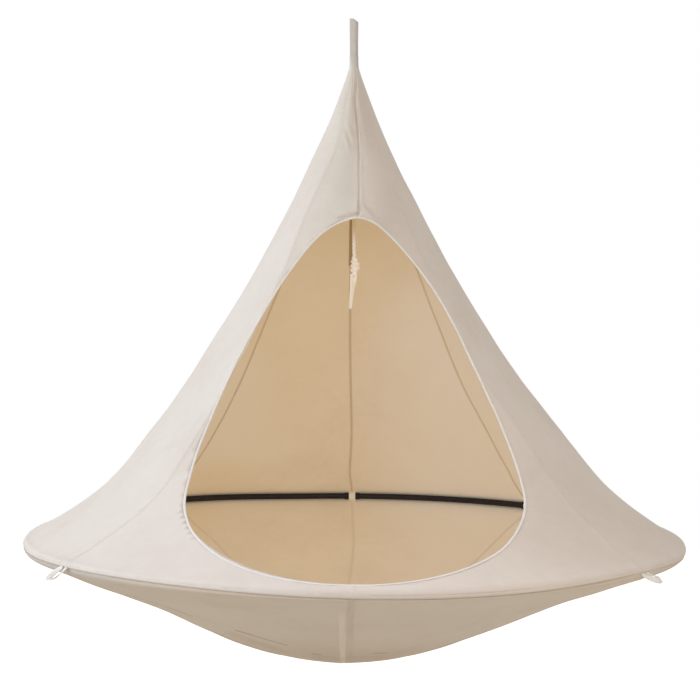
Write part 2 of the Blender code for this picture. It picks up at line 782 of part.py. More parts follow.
def rope_route():
    """The free rope's centreline, from under the whipping down to the knot."""
    top = sway_pivot()[2] + ROPE_RADIUS
    low = APEX_Z - KNOT_DEPTH + FIT
    aside = (0.0, 0.0, 0.001, 0.002, 0.001, -0.001, -0.0015)
    forward = (0.0, 0.0, -0.001, -0.002, -0.002, -0.0005, 0.0)
    down = (0.0, 0.08, 0.28, 0.52, 0.78, 0.94, 1.0)
    return [(x, y, top + (low - top) * t) for x, y, t in zip(aside, forward, down)]


def knot_place():
    x, y, _ = rope_route()[-1]
    return Vector((x, y, APEX_Z - KNOT_DEPTH))


def rope_knot():
    """The overhand knot: a lump whose strands wind round it."""
    top = knot_place()
    rings = []
    steps = 10
    count = 14
    for i in range(steps + 1):
        t = i / steps
        swell = 0.45 + 0.55 * math.sin(math.pi * t) ** 0.7
        twist = KNOT_TWIST * t
        ring = []
        for k in range(count):
            angle = math.tau * k / count
            lobe = 1 + 0.16 * math.cos(2 * (angle - twist))
            radius = KNOT_RADIUS * swell * lobe
            ring.append((top[0] + radius * math.cos(angle), top[1] + radius * math.sin(angle) * 0.9,
                         top[2] - KNOT_LENGTH * t))
        rings.append(ring)
    return loft_object("rope_knot", rings, COTTON_ROPE)


def hand_pivot():
    """The middle of the hand loop's domed ends, under the knot."""
    return knot_place() - Vector((0.0, 0.0, KNOT_LENGTH + FIT + ROPE_RADIUS))


def hand_loop():
    """The loop below the knot, its two strands side by side at the knot and one before the other below."""
    top = hand_pivot()
    reach = top[2] - (APEX_Z - HAND_LOOP_DEPTH + ROPE_RADIUS)
    apart = ROPE_RADIUS + FIT
    side = (
        (apart, 0.0, -ROPE_RADIUS),
        (apart, 0.0, 0.0),
        (apart, HAND_LOOP_HALF_WIDTH * 0.20, reach * 0.18),
        (apart * 0.8, HAND_LOOP_HALF_WIDTH * 0.75, reach * 0.42),
        (apart * 0.3, HAND_LOOP_HALF_WIDTH, reach * 0.66),
        (0.0, HAND_LOOP_HALF_WIDTH * 0.72, reach * 0.90),
    )

    def strand(sign):
        return [top + Vector((sign * x + HAND_LOOP_LEAN * max(down, 0.0), sign * y, -down)) for x, y, down in side]

    bottom = top + Vector((HAND_LOOP_LEAN * reach, 0.0, -reach))
    path = through([*strand(1), bottom, *reversed(strand(-1))], 26)
    return rope_object("rope_hand_loop", path, ROPE_RADIUS, COTTON_ROPE, round_start=True, round_end=True)


# Joint axes, as empties that carry the moving pieces

AXES = {}


def joint_axis(name, place, carrier=None):
    empty = bpy.data.objects.new(name, None)
    bpy.context.scene.collection.objects.link(empty)
    AXES[name] = Vector(place)
    if carrier:
        empty.parent = bpy.data.objects[carrier]
        empty.location = AXES[name] - AXES[carrier]
    else:
        empty.location = place
    return empty


def carry(axis, *objs):
    """Hangs pieces on a joint's axis, each with its own origin there."""
    for obj in objs:
        obj.data.transform(Matrix.Translation(-AXES[axis]))
        obj.parent = bpy.data.objects[axis]


def build():
    clear_scene()
    joint_axis("hang_point", (0.0, 0.0, 0.0))
    joint_axis("tent_swing_axis", (0.0, 0.0, swing_height()), "hang_point")
    joint_axis("tent_turn_axis", (0.0, 0.0, APEX_Z), "tent_swing_axis")
    joint_axis("rope_swing_axis", rope_pivot(), "tent_turn_axis")
    joint_axis("rope_sway_axis", sway_pivot(), "rope_swing_axis")
    joint_axis("hand_loop_axis", hand_pivot(), "rope_sway_axis")

    canopy = canopy_profile()
    floor = floor_profile()
    carry("hang_point", hanging_loop())
    carry("tent_swing_axis", neck_wrap())

    cutter = door_cutter()
    shell = []
    for i in range(GORES):
        panel = gore(f"canopy_gore_{i + 1}", canopy, i)
        if i in DOOR_GORES:
            cut_with(panel, cutter)
        shell.append(panel)
        shell.append(gore(f"floor_gore_{i + 1}", floor, i))
    canopy_web = seam_web("canopy_seam_web", canopy[:CANOPY_STEPS], 0)
    cut_with(canopy_web, cutter)
    shell.append(canopy_web)
    floor_rows = floor[FLOOR_WRAP_STEPS + 1:]
    shell.append(seam_web("floor_seam_web", floor_rows, len(floor_rows) - 2))
    shell.append(floor_patch(floor))
    shell.append(door_binding(canopy))
    carry("tent_turn_axis", cutter, *shell, crown_gather(canopy), rope_tab())

    end_gap = FIT / 2 / RING_RADIUS
    reach = COUPLER_LENGTH / 2 / RING_RADIUS
    for i in range(GORES):
        seam = GORE_ANGLE * i
        section = ring_tube(f"ring_section_{i + 1}", seam + end_gap, seam + GORE_ANGLE - end_gap,
                            TUBE_RADIUS, TUBE_RADIUS - TUBE_WALL)
        coupler = ring_tube(f"ring_coupler_{i + 1}", seam - reach, seam + reach,
                            COUPLER_RADIUS, TUBE_RADIUS + FIT)
        carry("tent_turn_axis", section, coupler)
        if i:
            carry("tent_turn_axis", ring_tab(f"ring_tab_{i}", seam, canopy, floor))

    for label, degrees in zip(TIE_NAMES, TIE_AZIMUTHS):
        azimuth = math.radians(degrees)
        axis = f"tie_axis_{label}"
        joint_axis(axis, tie_pivot(azimuth), "tent_turn_axis")
        carry(axis, tie_loop(f"tie_loop_{label}", azimuth))

    carry("rope_swing_axis", rope_eye(), rope_whipping())
    run = through(rope_route(), 18)
    carry("rope_sway_axis", rope_object("grab_rope", run, ROPE_RADIUS, COTTON_ROPE, round_start=True), rope_knot())
    carry("hand_loop_axis", hand_loop())


build()
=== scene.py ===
"""The hanging tent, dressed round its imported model: cloth shell, tapes, ring, strap and grab rope.

Metres, +Z up, the doorway towards -Y. Azimuths are measured from the front, positive towards +X.
A point on the cloth is named by its azimuth and its row. Rows are counted down the cloth from its top.
"""

import bisect
import math

import bmesh
import bpy
from mathutils import Matrix, Vector, noise


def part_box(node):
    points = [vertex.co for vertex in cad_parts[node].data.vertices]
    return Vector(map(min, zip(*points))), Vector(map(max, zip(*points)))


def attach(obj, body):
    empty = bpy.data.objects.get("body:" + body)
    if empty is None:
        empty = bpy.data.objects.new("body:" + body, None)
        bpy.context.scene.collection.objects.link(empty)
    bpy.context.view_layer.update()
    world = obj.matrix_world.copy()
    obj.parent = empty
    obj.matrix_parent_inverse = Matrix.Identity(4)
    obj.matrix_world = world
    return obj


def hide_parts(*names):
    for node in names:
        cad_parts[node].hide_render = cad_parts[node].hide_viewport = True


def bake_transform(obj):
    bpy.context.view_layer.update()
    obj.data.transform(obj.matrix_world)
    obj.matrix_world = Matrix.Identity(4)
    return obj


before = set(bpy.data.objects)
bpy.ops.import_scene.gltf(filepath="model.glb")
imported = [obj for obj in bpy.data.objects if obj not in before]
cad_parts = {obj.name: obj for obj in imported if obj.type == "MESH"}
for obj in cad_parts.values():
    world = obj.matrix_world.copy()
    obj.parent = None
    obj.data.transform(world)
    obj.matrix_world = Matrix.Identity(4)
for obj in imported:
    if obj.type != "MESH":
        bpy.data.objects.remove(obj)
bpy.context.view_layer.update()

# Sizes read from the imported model
ring_low, ring_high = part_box("ring_section_1")
RING_Z = (ring_low.z + ring_high.z) / 2
APEX_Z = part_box("canopy_gore_4")[1].z

# Cloth shell, as the solids have it
GORES = 8
GORE_ANGLE = math.tau / GORES
APEX_RADIUS = 0.012
APEX_HEIGHT = APEX_Z - RING_Z
APEX_PULL = Vector((0.151, -0.454))
RING_RADIUS = 0.73684
RIM_RADIUS = 0.01316  # cloth round the tube, to its outer face
RIM_SLOPE = math.radians(22.4)
RIM_PULL = 0.206
FLOOR_SLOPE = math.radians(19.6)
FLOOR_PULL = 0.253
FLOOR_SAG = 0.221
FLOOR_DEPTH = 0.293
FLOOR_FLAT = 0.030
FACET = 0.75
FACET_RISE = 0.40
CLOTH = 0.0016
CLEAR = 0.0003  # between pieces that touch
CROWN_DEPTH = 0.045  # from the tip down to the foot of the gathered tapes

# Seams
FELL_HALF = 0.0044  # half width of the flat seam
FELL_RISE = 0.0006
LANES = (0.0, 0.0022, 0.0042, 0.0053, 0.0080)  # columns of points beside a seam
STITCH_LANE = 0.0031
GROOVE = 0.0014  # how far the cloth dips where canopy and floor meet
TAPE_HALF = 0.0027
TAPE = 0.0008
TAPE_FACE = CLOTH + CLEAR  # depth of a tape's near side under the face of the cloth
STITCH_LIFT = 0.0001

# Doorway
DOOR_TOP = 0.7168
DOOR_BOTTOM = 0.0134
DOOR_HALF_WIDTH = 0.3233
DOOR_WIDEST = 0.1417
DOOR_TOP_ROUND = 0.1407
DOOR_SIDE_UP = 0.1175
DOOR_SIDE_DOWN = 0.1009
DOOR_BOTTOM_ROUND = 0.1393
DOOR_MIDDLE = Vector((0.0, 0.27))

# How the ring hangs: a slope down to the right, and a droop by the square of the distance aside
ASKEW = 0.0085
SAG = 0.008

# Ring, strap and rope
TUBE_RADIUS = 0.009
SLEEVE_RADIUS = 0.0105
SLEEVE_LENGTH = 0.048
STRAP_FOLD = 0.0026  # where across its width the strap starts to fold back
ROPE_RADIUS = 0.0045
LAY = 0.030  # length of one turn of the rope's strands

# Camera, fitted to the photo
LENS = 48.07
CAMERA_PLACE = (-0.020, -2.262, RING_Z + 0.3174)
CAMERA_TURN = (math.pi / 2 + 0.0495, 0.0, -0.0045)


def set_camera():
    lens = bpy.data.cameras.new("camera")
    lens.lens = LENS
    lens.sensor_width = 36.0
    lens.clip_end = 60.0
    camera = bpy.data.objects.new("camera", lens)
    camera.location = CAMERA_PLACE
    camera.rotation_euler = CAMERA_TURN
    bpy.context.scene.collection.objects.link(camera)
    bpy.context.scene.camera = camera


set_camera()


# Graphs of nodes, for materials and for geometry

class Value:
    """One socket of a graph. Operators on it add the Math nodes."""

    def __init__(self, graph, socket):
        self.graph = graph
        self.socket = socket

    def math(self, operation, *others):
        return self.graph.node("ShaderNodeMath", {"operation": operation}, [self, *others])

    def __add__(self, other):
        return self.math("ADD", other)

    def __sub__(self, other):
        return self.math("SUBTRACT", other)

    def __mul__(self, other):
        return self.math("MULTIPLY", other)

    def __truediv__(self, other):
        return self.math("DIVIDE", other)

    def __pow__(self, other):
        return self.math("POWER", other)

    def __rsub__(self, other):
        return self.graph.node("ShaderNodeMath", {"operation": "SUBTRACT"}, [other, self])

    __radd__ = __add__
    __rmul__ = __mul__

    def within(self, low, high):
        """0 below low, 1 above high and a smooth rise between."""
        return self.graph.node(
            "ShaderNodeMapRange", {"interpolation_type": "SMOOTHSTEP"}, [self, low, high, 0.0, 1.0])

    def before(self, low, high):
        """1 below low, 0 above high and a smooth fall between."""
        return 1.0 - self.within(low, high)

    def between(self, foot, top, edge, end):
        """A smooth rise from foot to top, and a smooth fall from edge to end."""
        return self.within(foot, top) * self.before(edge, end)

    def near(self, middle, inner, outer):
        """1 up to one distance from the middle, 0 from a larger one on."""
        return (self - middle).math("ABSOLUTE").before(inner, outer)

    def of(self, name):
        """Another output of the node that this socket belongs to."""
        return Value(self.graph, self.socket.node.outputs[name])


class Graph:
    """A node tree that is written line by line."""

    def __init__(self, tree):
        self.tree = tree

    def node(self, kind, settings=None, inputs=(), output=0):
        made = self.tree.nodes.new(kind)
        for name, setting in (settings or {}).items():
            setattr(made, name, setting)
        pairs = inputs.items() if isinstance(inputs, dict) else enumerate(inputs)
        for key, value in pairs:
            if value is None:
                continue
            if isinstance(value, Value):
                self.tree.links.new(value.socket, made.inputs[key])
            else:
                made.inputs[key].default_value = value
        return Value(self, made.outputs[output])

    def vector(self, operation, *inputs):
        return self.node("ShaderNodeVectorMath", {"operation": operation}, inputs)

    def scaled(self, vector, factor):
        return self.node("ShaderNodeVectorMath", {"operation": "SCALE"}, {0: vector, "Scale": factor})

    def joined(self, x, y, z):
        return self.node("ShaderNodeCombineXYZ", None, [x, y, z])

    def parts(self, vector):
        split = self.node("ShaderNodeSeparateXYZ", None, [vector])
        return split, split.of("Y"), split.of("Z")


class Finish(Graph):
    """A material, its shader, and the patterns that feed it."""

    def __init__(self, name, roughness, **constants):
        self.material = bpy.data.materials.new(name)
        self.material.use_nodes = True
        super().__init__(self.material.node_tree)
        self.shader = self.tree.nodes["Principled BSDF"]
        self.shader.inputs["Roughness"].default_value = roughness
        for label, value in constants.items():
            self.shader.inputs[label.replace("_", " ")].default_value = value
        self.place = self.node("ShaderNodeTexCoord").of("Object")

    def noise(self, scale, detail=2.0, where=None, stretch=None):
        where = where or self.place
        if stretch:
            where = self.vector("MULTIPLY", where, stretch)
        return self.node(
            "ShaderNodeTexNoise", None,
            {"Vector": where, "Scale": scale, "Detail": detail, "Roughness": 0.55})

    def uv(self, name):
        return self.node("ShaderNodeUVMap", {"uv_map": name}, [])

    def spot(self):
        """Own x and y, and the height over the ring."""
        x, y, z = self.parts(self.place)
        return x, y, z - RING_Z

    def colour(self, a, b, share):
        a, b = ((*c, 1.0) if isinstance(c, tuple) else c for c in (a, b))
        return self.node("ShaderNodeMix", {"data_type": "RGBA"}, {0: share, 6: a, 7: b}, 2)

    def coats(self, base, *coats):
        """Colours laid over a base one after the other, each with its share."""
        for coat, share in coats:
            base = self.colour(base, coat, share)
        return base

    def near_line(self, x, z, start, end, width):
        """Nearness to a short line in the front view, from 0 to 1."""
        way = Vector(end) - Vector(start)
        pull = 1.0 / way.length_squared
        x, z = x - start[0], z - start[1]
        along = self.node(
            "ShaderNodeMath", {"operation": "MULTIPLY_ADD", "use_clamp": True},
            [x, way.x * pull, z * (way.y * pull)])
        aside, off = x - along * way.x, z - along * way.y
        return ((aside * aside + off * off) ** 0.5).before(0.35 * width, width)

    def paint(self, colour):
        self.tree.links.new(colour.socket, self.shader.inputs["Base Color"])

    def shine(self, colour, tint):
        """A painted glow that stands in for light coming through the cloth: emission of the cloth's colour
        times a tint.
        """
        glow = self.vector("MULTIPLY", colour, tint)
        self.tree.links.new(glow.socket, self.shader.inputs["Emission Color"])

    def gloss(self, roughness):
        self.tree.links.new(roughness.socket, self.shader.inputs["Roughness"])

    def relief(self, height, depth):
        """Bumps of a real depth in metres, for a height from 0 to 1."""
        bump = self.node("ShaderNodeBump", None, {"Strength": 1.0, "Distance": depth, "Height": height})
        self.tree.links.new(bump.socket, self.shader.inputs["Normal"])


def plain_weave(across, along, pitch):
    """Height of a plain weave from 0 to 1, for places in metres across and along the threads."""
    turn = math.pi / pitch
    a = (across * turn).math("COSINE")
    b = (along * turn).math("COSINE")
    over = (a * b * 2.0).within(-1.0, 1.0)
    warp = a.math("ABSOLUTE")
    weft = b.math("ABSOLUTE")
    return weft + (warp - weft) * over


def canvas(name, light, dark, shade_tone, glow=0.0, marks=None, line=0.09):
    """Cotton canvas: weave, slubs, faint mottling, puckers along the seams, painted shade along the seams and
    at the rim seam, and a painted glow for light that comes through.
    """
    finish = Finish(name, 0.9, Specular_IOR_Level=0.25, Sheen_Weight=0.12, Sheen_Roughness=0.5,
                    Emission_Strength=glow)
    across, along, _ = finish.parts(finish.uv("cloth"))
    from_seam, down, _ = finish.parts(finish.uv("seam"))
    weave = plain_weave(across, along, 0.0009)
    threads = finish.joined(across, along, 0.0)
    slubs = (finish.noise(1.0, 1.0, threads, (900.0, 26.0, 1.0))
             + finish.noise(1.0, 1.0, threads, (26.0, 900.0, 1.0))) * 0.5
    cloud = finish.noise(5.5, 3.0)
    tone = cloud * 0.45 + finish.noise(38.0, 3.0) * 0.2 + slubs * 0.35
    # Painted shade: dark lines along the edges of the flat seams, a touch over the seams themselves, and a
    # dark line in the groove at the rim seam that fades out on the right.
    fell = from_seam.before(FELL_HALF - 0.0006, FELL_HALF + 0.0006)
    crease = from_seam.math("COMPARE", FELL_HALF + 0.0004, 0.0008)
    rim = down.near(0.0, 0.0006, 0.0030) * finish.spot()[0].before(0.40, 0.53)
    wear_and_seam_shade = (crease * line + fell * 0.02 + rim * 0.42).math("MINIMUM", 1.0)
    base = finish.coats(dark, (light, tone.within(0.30, 0.66)), (shade_tone, wear_and_seam_shade))
    if marks:
        base = marks(finish, base, shade_tone, cloud, down)
    finish.paint(base)
    if glow:
        finish.shine(base, GLOW_TINT)
    pucker = finish.noise(1.0, 2.0, finish.joined(from_seam, down, 0.0), (34.0, 95.0, 1.0))
    pucker = pucker * from_seam.before(0.002, 0.030)
    handled = finish.noise(11.0, 3.0) * 0.6 + finish.noise(30.0, 2.0) * 0.25
    finish.relief(weave * 0.07 + slubs * 0.05 + pucker * 0.50 + handled * 0.55, 0.0016)
    return finish.material


def outer_marks(finish, base, shade_tone, cloud, down):
    """Painted shade of the tuck over the doorway, a painted highlight beside it, and painted shade along the
    hem line right of the middle of the rim.
    """
    x, y, height = finish.spot()
    front = y.before(-0.12, -0.06)
    tuck = finish.near_line(x, height, (-0.036, 0.7180), (0.008, 0.7275), 0.0056)
    tail = finish.near_line(x, height, (0.009, 0.7290), (0.007, 0.7600), 0.0042)
    hem = down.math("COMPARE", -0.0082, 0.0007) * x.between(-0.01, 0.03, 0.26, 0.34)
    lit = x.between(0.006, 0.020, 0.035, 0.095) * height.between(0.69, 0.77, 0.86, 1.00)
    shade = (tuck * 0.34 + tail * 0.20 + hem * 0.30) * front
    return finish.coats(base, ((0.90, 0.85, 0.79), lit * front * 0.50), (shade_tone, shade.math("MINIMUM", 1.0)))


def inner_marks(finish, base, shade_tone, cloud, down):
    """Painted light where daylight falls on the walls and the floor, and painted shade, deeper high up and to
    the left.
    """
    x, y, height = finish.spot()
    back = y.within(-0.10, 0.20)
    right = x.within(-0.05, 0.30) * back * height.between(-0.10, 0.02, 0.58, 0.70)
    right_floor = x.within(-0.02, 0.30) * height.before(-0.03, 0.0)
    left = x.before(-0.36, -0.12) * back * height.between(0.08, 0.16, 0.36, 0.50)
    deep = (height - x * 1.2).within(0.33, 0.55)
    return finish.coats(
        base, ((0.84, 0.79, 0.74), right * 0.68), ((0.82, 0.76, 0.69), right_floor * 0.50),
        ((0.82, 0.79, 0.76), left * 0.80), ((0.77, 0.66, 0.48), deep * 0.45))


def bowl_marks(finish, base, shade_tone, cloud, down):
    """Painted shade: darker low on the bowl and towards its left, grey under its turned left edge, in four
    short folds, in a strip over the patch's edge and right of the front seam, with a painted highlight left
    of it.
    """
    x, y, height = finish.spot()
    front = y.before(-0.20, -0.10)
    low = (height + cloud * 0.03).before(-0.225, -0.125)
    turned = down.before(0.002, 0.014) * x.before(-0.52, -0.34)
    pale = x.near(-0.0265, 0.0035, 0.0075) * height.before(-0.085, -0.030)
    seam = x.near(-0.0120, 0.0050, 0.0085) * (0.35 + 0.65 * height.within(-0.190, -0.110))
    strip = x.near(-0.011, 0.060, 0.100) * height.between(-0.262, -0.236, -0.2215, -0.2165)
    shade = seam * 0.24 + strip * 0.26
    for start, end, width, share in (
            ((-0.2377, -0.1456), (-0.1391, -0.1862), 0.0036, 0.85),
            ((-0.4321, -0.0563), (-0.3206, -0.1107), 0.0040, 0.50),
            ((-0.0875, -0.2126), (-0.0710, -0.2144), 0.0036, 0.80),
            ((0.0378, -0.2080), (0.0648, -0.2097), 0.0036, 0.80)):
        shade = shade + finish.near_line(x, height, start, end, width) * share
    return finish.coats(
        base, (shade_tone, low * 0.50), (shade_tone, x.before(-0.40, -0.10) * 0.08), (TURNED_SHADE, turned * 0.60),
        (BOWL_SEAM_LIGHT, pale * front * 0.55), (shade_tone, (shade * front).math("MINIMUM", 1.0)))


def folded_edge(x, z, start):
    """Nearness to the strap's right edge, which is folded back into the shade."""
    return x.within(start, start + 0.0028) * (1.0 - z.within(-0.075, -0.030) * 0.45) * 0.62


def neck_marks(finish, base, shade_tone, cloud, down):
    """Grey above, where the strap shows through the gathered cloth, and painted shade on the strap's
    folded-back right edge.
    """
    x, _, z = finish.parts(finish.place)
    edge = folded_edge(x, z, 0.0050) * z.within(-0.1285, -0.112)
    return finish.coats(base, (STRAP_GREY, z.within(-0.133, -0.122) * 0.9), (STRAP_SHADE, edge))


def strap_marks(finish, base):
    """Shade on the folded edge, and deep shade inside the eye."""
    x, y, z = finish.parts(finish.place)
    inside = y.within(-0.0068, -0.0050) * x.within(-0.0010, 0.0015) * z.within(-0.020, -0.015)
    return finish.coats(base, (STRAP_SHADE, folded_edge(x, z, 0.0035)), ((0.25, 0.25, 0.24), inside * 0.75))


def tape_marks(finish, base):
    """Paler on the right wall, where daylight falls on it."""
    x, _, _ = finish.parts(finish.place)
    return finish.colour(base, (0.76, 0.65, 0.50), x.within(0.04, 0.20) * 0.55)


def rope_marks(finish, base):
    """Deeper high up, where the rope hangs in the shade of the crown."""
    _, _, z = finish.parts(finish.place)
    return finish.colour(base, (0.72, 0.60, 0.42), z.within(-0.565, -0.512) * 0.88)


def narrow_weave(name, light, dark, pitch=0.004, rib=0.0011, glow=0.0, marks=None):
    """Woven tape or webbing: ribs across, a chevron along, fuzz and a little dirt."""
    finish = Finish(name, 0.82, Specular_IOR_Level=0.3, Sheen_Weight=0.1, Emission_Strength=glow)
    across, along, _ = finish.parts(finish.uv("tape"))
    ribs = (along * (math.tau / rib)).math("SINE")
    chevron = ((across.math("ABSOLUTE") + along) * (math.tau / pitch)).math("SINE")
    height = ribs * 0.22 + chevron * 0.28 + 0.5
    fuzz = finish.noise(1400.0, 2.0)
    cloud = finish.noise(45.0, 3.0)
    base = finish.colour(dark, light, (cloud * 0.55 + height * 0.35 + fuzz * 0.1).within(0.25, 0.75))
    if marks:
        base = marks(finish, base)
    finish.paint(base)
    # Painted glow for light that comes through the tape.
    if glow:
        finish.shine(base, GLOW_TINT)
    finish.relief(height * 0.8 + fuzz * 0.2, 0.00045)
    return finish.material


def satin_tube(name, base, wear_and_seam_shade, roughness):
    """Coated tube: satin, with faint drawing marks and rubbed patches."""
    finish = Finish(name, roughness, Specular_IOR_Level=0.35, Coat_Roughness=0.25)
    rub = finish.noise(26.0, 4.0)
    grain = finish.noise(420.0, 2.0)
    finish.paint(finish.colour(base, wear_and_seam_shade, (rub * 0.8 + grain * 0.2).within(0.45, 0.75)))
    finish.gloss(rub * 0.16 + grain * 0.06 + (roughness - 0.11))
    finish.relief(grain, 0.00006)
    return finish.material


def cotton_rope(name, light, dark):
    """Soft laid cotton: fuzz, yarn shadows, light dirt, and a painted glow that brightens it."""
    finish = Finish(name, 0.92, Specular_IOR_Level=0.2, Sheen_Weight=0.25, Emission_Strength=0.17)
    yarn = finish.noise(900.0, 3.0)
    cloud = finish.noise(60.0, 2.0)
    base = rope_marks(finish, finish.colour(dark, light, (yarn * 0.6 + cloud * 0.4).within(0.3, 0.66)))
    finish.paint(base)
    finish.shine(base, (1.0, 0.95, 0.88))
    finish.relief(yarn, 0.0005)
    return finish.material


def sewing_thread(name, light, dark):
    finish = Finish(name, 0.7, Specular_IOR_Level=0.35)
    ply = finish.noise(2200.0, 1.0)
    finish.paint(finish.colour(dark, light, ply.within(0.35, 0.6)))
    finish.relief(ply, 0.0001)
    return finish.material


# Each canvas: a light tone, a dark tone, and the tone of its painted shade.
CREAM = ((0.815, 0.755, 0.690), (0.745, 0.680, 0.608), (0.50, 0.43, 0.36))
# The same cloth is painted warmer inside, as painted light for light that comes through it, and darker under
# the bowl, as painted shade.
WARM = ((0.805, 0.715, 0.590), (0.745, 0.650, 0.525), (0.44, 0.34, 0.23))
BOWL = ((0.745, 0.660, 0.556), (0.680, 0.592, 0.488), (0.46, 0.34, 0.22))
# Painted highlight left of the bowl's front seam.
BOWL_SEAM_LIGHT = (0.86, 0.76, 0.64)
STRAP_GREY = (0.74, 0.725, 0.705)
STRAP_SHADE = (0.50, 0.455, 0.42)
# Painted shade under the bowl's turned left edge.
TURNED_SHADE = (0.50, 0.47, 0.44)
GLOW = 0.183  # painted glow for light that comes through the cloth, as a share of its colour
GLOW_TINT = (1.0, 0.955, 0.84)
outer_canvas = canvas("outer_canvas", *CREAM, marks=outer_marks, line=0.03)
inner_canvas = canvas("inner_canvas", *WARM, glow=GLOW, marks=inner_marks)
under_canvas = canvas("under_canvas", *BOWL, marks=bowl_marks)
neck_canvas = canvas("neck_canvas", *CREAM, marks=neck_marks)
brown_tape = narrow_weave("brown_tape", (0.68, 0.56, 0.41), (0.60, 0.48, 0.34), glow=GLOW, marks=tape_marks)
# Darker tape for the back seam high up, as painted shade of the crown.
dark_tape = narrow_weave("dark_tape", (0.58, 0.44, 0.28), (0.50, 0.37, 0.23))
floor_tape = narrow_weave("floor_tape", (0.785, 0.69, 0.565), (0.73, 0.635, 0.505), glow=GLOW)
white_tape = narrow_weave("white_tape", (0.96, 0.94, 0.91), (0.90, 0.87, 0.83), 0.003, 0.0009)
strap_web = narrow_weave(
    "strap_webbing", (0.80, 0.785, 0.77), (0.72, 0.70, 0.68), 0.005, 0.0016, marks=strap_marks)
tab_web = narrow_weave("tab_webbing", (0.86, 0.82, 0.76), (0.77, 0.73, 0.67), rib=0.0014, glow=GLOW)
black_tube = satin_tube("black_tube", (0.014, 0.010, 0.015), (0.026, 0.019, 0.027), 0.34)
black_sleeve = satin_tube("black_sleeve", (0.010, 0.009, 0.010), (0.020, 0.017, 0.019), 0.46)
rope_cotton = cotton_rope("rope_cotton", (0.97, 0.95, 0.91), (0.88, 0.84, 0.78))
pale_thread = sewing_thread("pale_thread", (0.86, 0.81, 0.74), (0.76, 0.70, 0.62))
tan_thread = sewing_thread("tan_thread", (0.56, 0.44, 0.30), (0.46, 0.35, 0.23))
floor_thread = sewing_thread("floor_thread", (0.72, 0.62, 0.49), (0.64, 0.54, 0.41))
hem_thread = sewing_thread("hem_thread", (0.64, 0.56, 0.47), (0.54, 0.47, 0.39))
white_thread = sewing_thread("white_thread", (0.95, 0.92, 0.88), (0.86, 0.82, 0.77))


# Objects

def add_object(name, data):
    made = bpy.data.objects.new(name, data)
    bpy.context.scene.collection.objects.link(made)
    return made


def plain_mesh(made):
    """Bakes an object's modifiers into its mesh."""
    bpy.context.view_layer.update()
    graph = bpy.context.evaluated_depsgraph_get()
    mesh = bpy.data.meshes.new_from_object(made.evaluated_get(graph))
    old = made.data
    if made.type == "MESH":
        made.modifiers.clear()
        made.data = mesh
        result = made
    else:
        name = made.name
        bpy.data.objects.remove(made)
        result = add_object(name, mesh)
    if isinstance(old, bpy.types.Curve):
        bpy.data.curves.remove(old)
    result.data.name = result.name
    return result


def bmesh_object(name, bm, materials, recalculate=True):
    if recalculate:
        bmesh.ops.recalc_face_normals(bm, faces=bm.faces)
    mesh = bpy.data.meshes.new(name)
    bm.to_mesh(mesh)
    bm.free()
    for material in materials:
        mesh.materials.append(material)
    mesh.shade_smooth()
    return add_object(name, mesh)


def line_object(name, lines, closed=False):
    """Polylines as a curve object, for a Geometry Nodes tree to follow."""
    curve = bpy.data.curves.new(name, "CURVE")
    curve.dimensions = "3D"
    for points in lines:
        spline = curve.splines.new("POLY")
        spline.points.add(len(points) - 1)
        for point, place in zip(spline.points, points):
            point.co = (*place, 1.0)
        spline.use_cyclic_u = closed
    return add_object(name, curve)


def settle(piece, body, slot, *nodes):
    """Gives a finished piece its body and hides the solids that it stands for. The slot is not used."""
    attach(piece, body)
    if nodes:
        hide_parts(*nodes)
    return piece


# Geometry Nodes trees

class Recipe(Graph):
    """A Geometry Nodes tree with named inputs, run on one object at a time."""

    def __init__(self, name, sizes):
        super().__init__(bpy.data.node_groups.new(name, "GeometryNodeTree"))
        face = self.tree.interface
        face.new_socket("Geometry", in_out="INPUT", socket_type="NodeSocketGeometry")
        self.sockets = {}
        for label, kind in sizes.items():
            self.sockets[label] = face.new_socket(label, in_out="INPUT", socket_type=f"NodeSocket{kind}")
        face.new_socket("Geometry", in_out="OUTPUT", socket_type="NodeSocketGeometry")
        self.start = self.tree.nodes.new("NodeGroupInput")
        self.end = self.tree.nodes.new("NodeGroupOutput")

    def size(self, label):
        return Value(self, self.start.outputs[label])

    def finish(self, geometry):
        solid = self.node("GeometryNodeRealizeInstances", None, {"Geometry": geometry})
        smooth = self.node("GeometryNodeSetShadeSmooth", None, {"Geometry": solid})
        dressed = self.node(
            "GeometryNodeSetMaterial", None, {"Geometry": smooth, "Material": self.size("Material")})
        self.tree.links.new(dressed.socket, self.end.inputs[0])

    def run(self, carrier, **sizes):
        """Runs the tree on an object and leaves a plain mesh."""
        modifier = carrier.modifiers.new(self.tree.name, "NODES")
        modifier.node_group = self.tree
        for label, value in sizes.items():
            modifier[self.sockets[label.replace("_", " ")].identifier] = value
        return plain_mesh(carrier)

    def skin(self, line, radius, sides, scale=None):
        """A round skin along a line, closed at its ends."""
        ring = self.node("GeometryNodeCurvePrimitiveCircle", None, {"Resolution": sides, "Radius": radius})
        return self.node("GeometryNodeCurveToMesh", None, {
            "Curve": line, "Profile Curve": ring, "Scale": scale, "Fill Caps": True})


def stitch_recipe():
    """Small raised stitches at an even pitch along lines."""
    tree = Recipe("stitches", {
        "Pitch": "Float", "Stitch": "Float", "Thread": "Float", "Material": "Material"})
    spots = tree.node(
        "GeometryNodeCurveToPoints", {"mode": "LENGTH"},
        {"Curve": tree.size("Geometry"), "Length": tree.size("Pitch")})
    grain = tree.node("GeometryNodeMeshUVSphere", None, {"Segments": 5, "Rings": 4, "Radius": 0.5})
    shape = tree.joined(tree.size("Thread"), tree.size("Thread"), tree.size("Stitch"))
    bead = tree.node("GeometryNodeTransform", None, {"Geometry": grain, "Scale": shape})
    tree.finish(tree.node(
        "GeometryNodeInstanceOnPoints", None,
        {"Points": spots, "Instance": bead, "Rotation": spots.of("Rotation")}))
    return tree


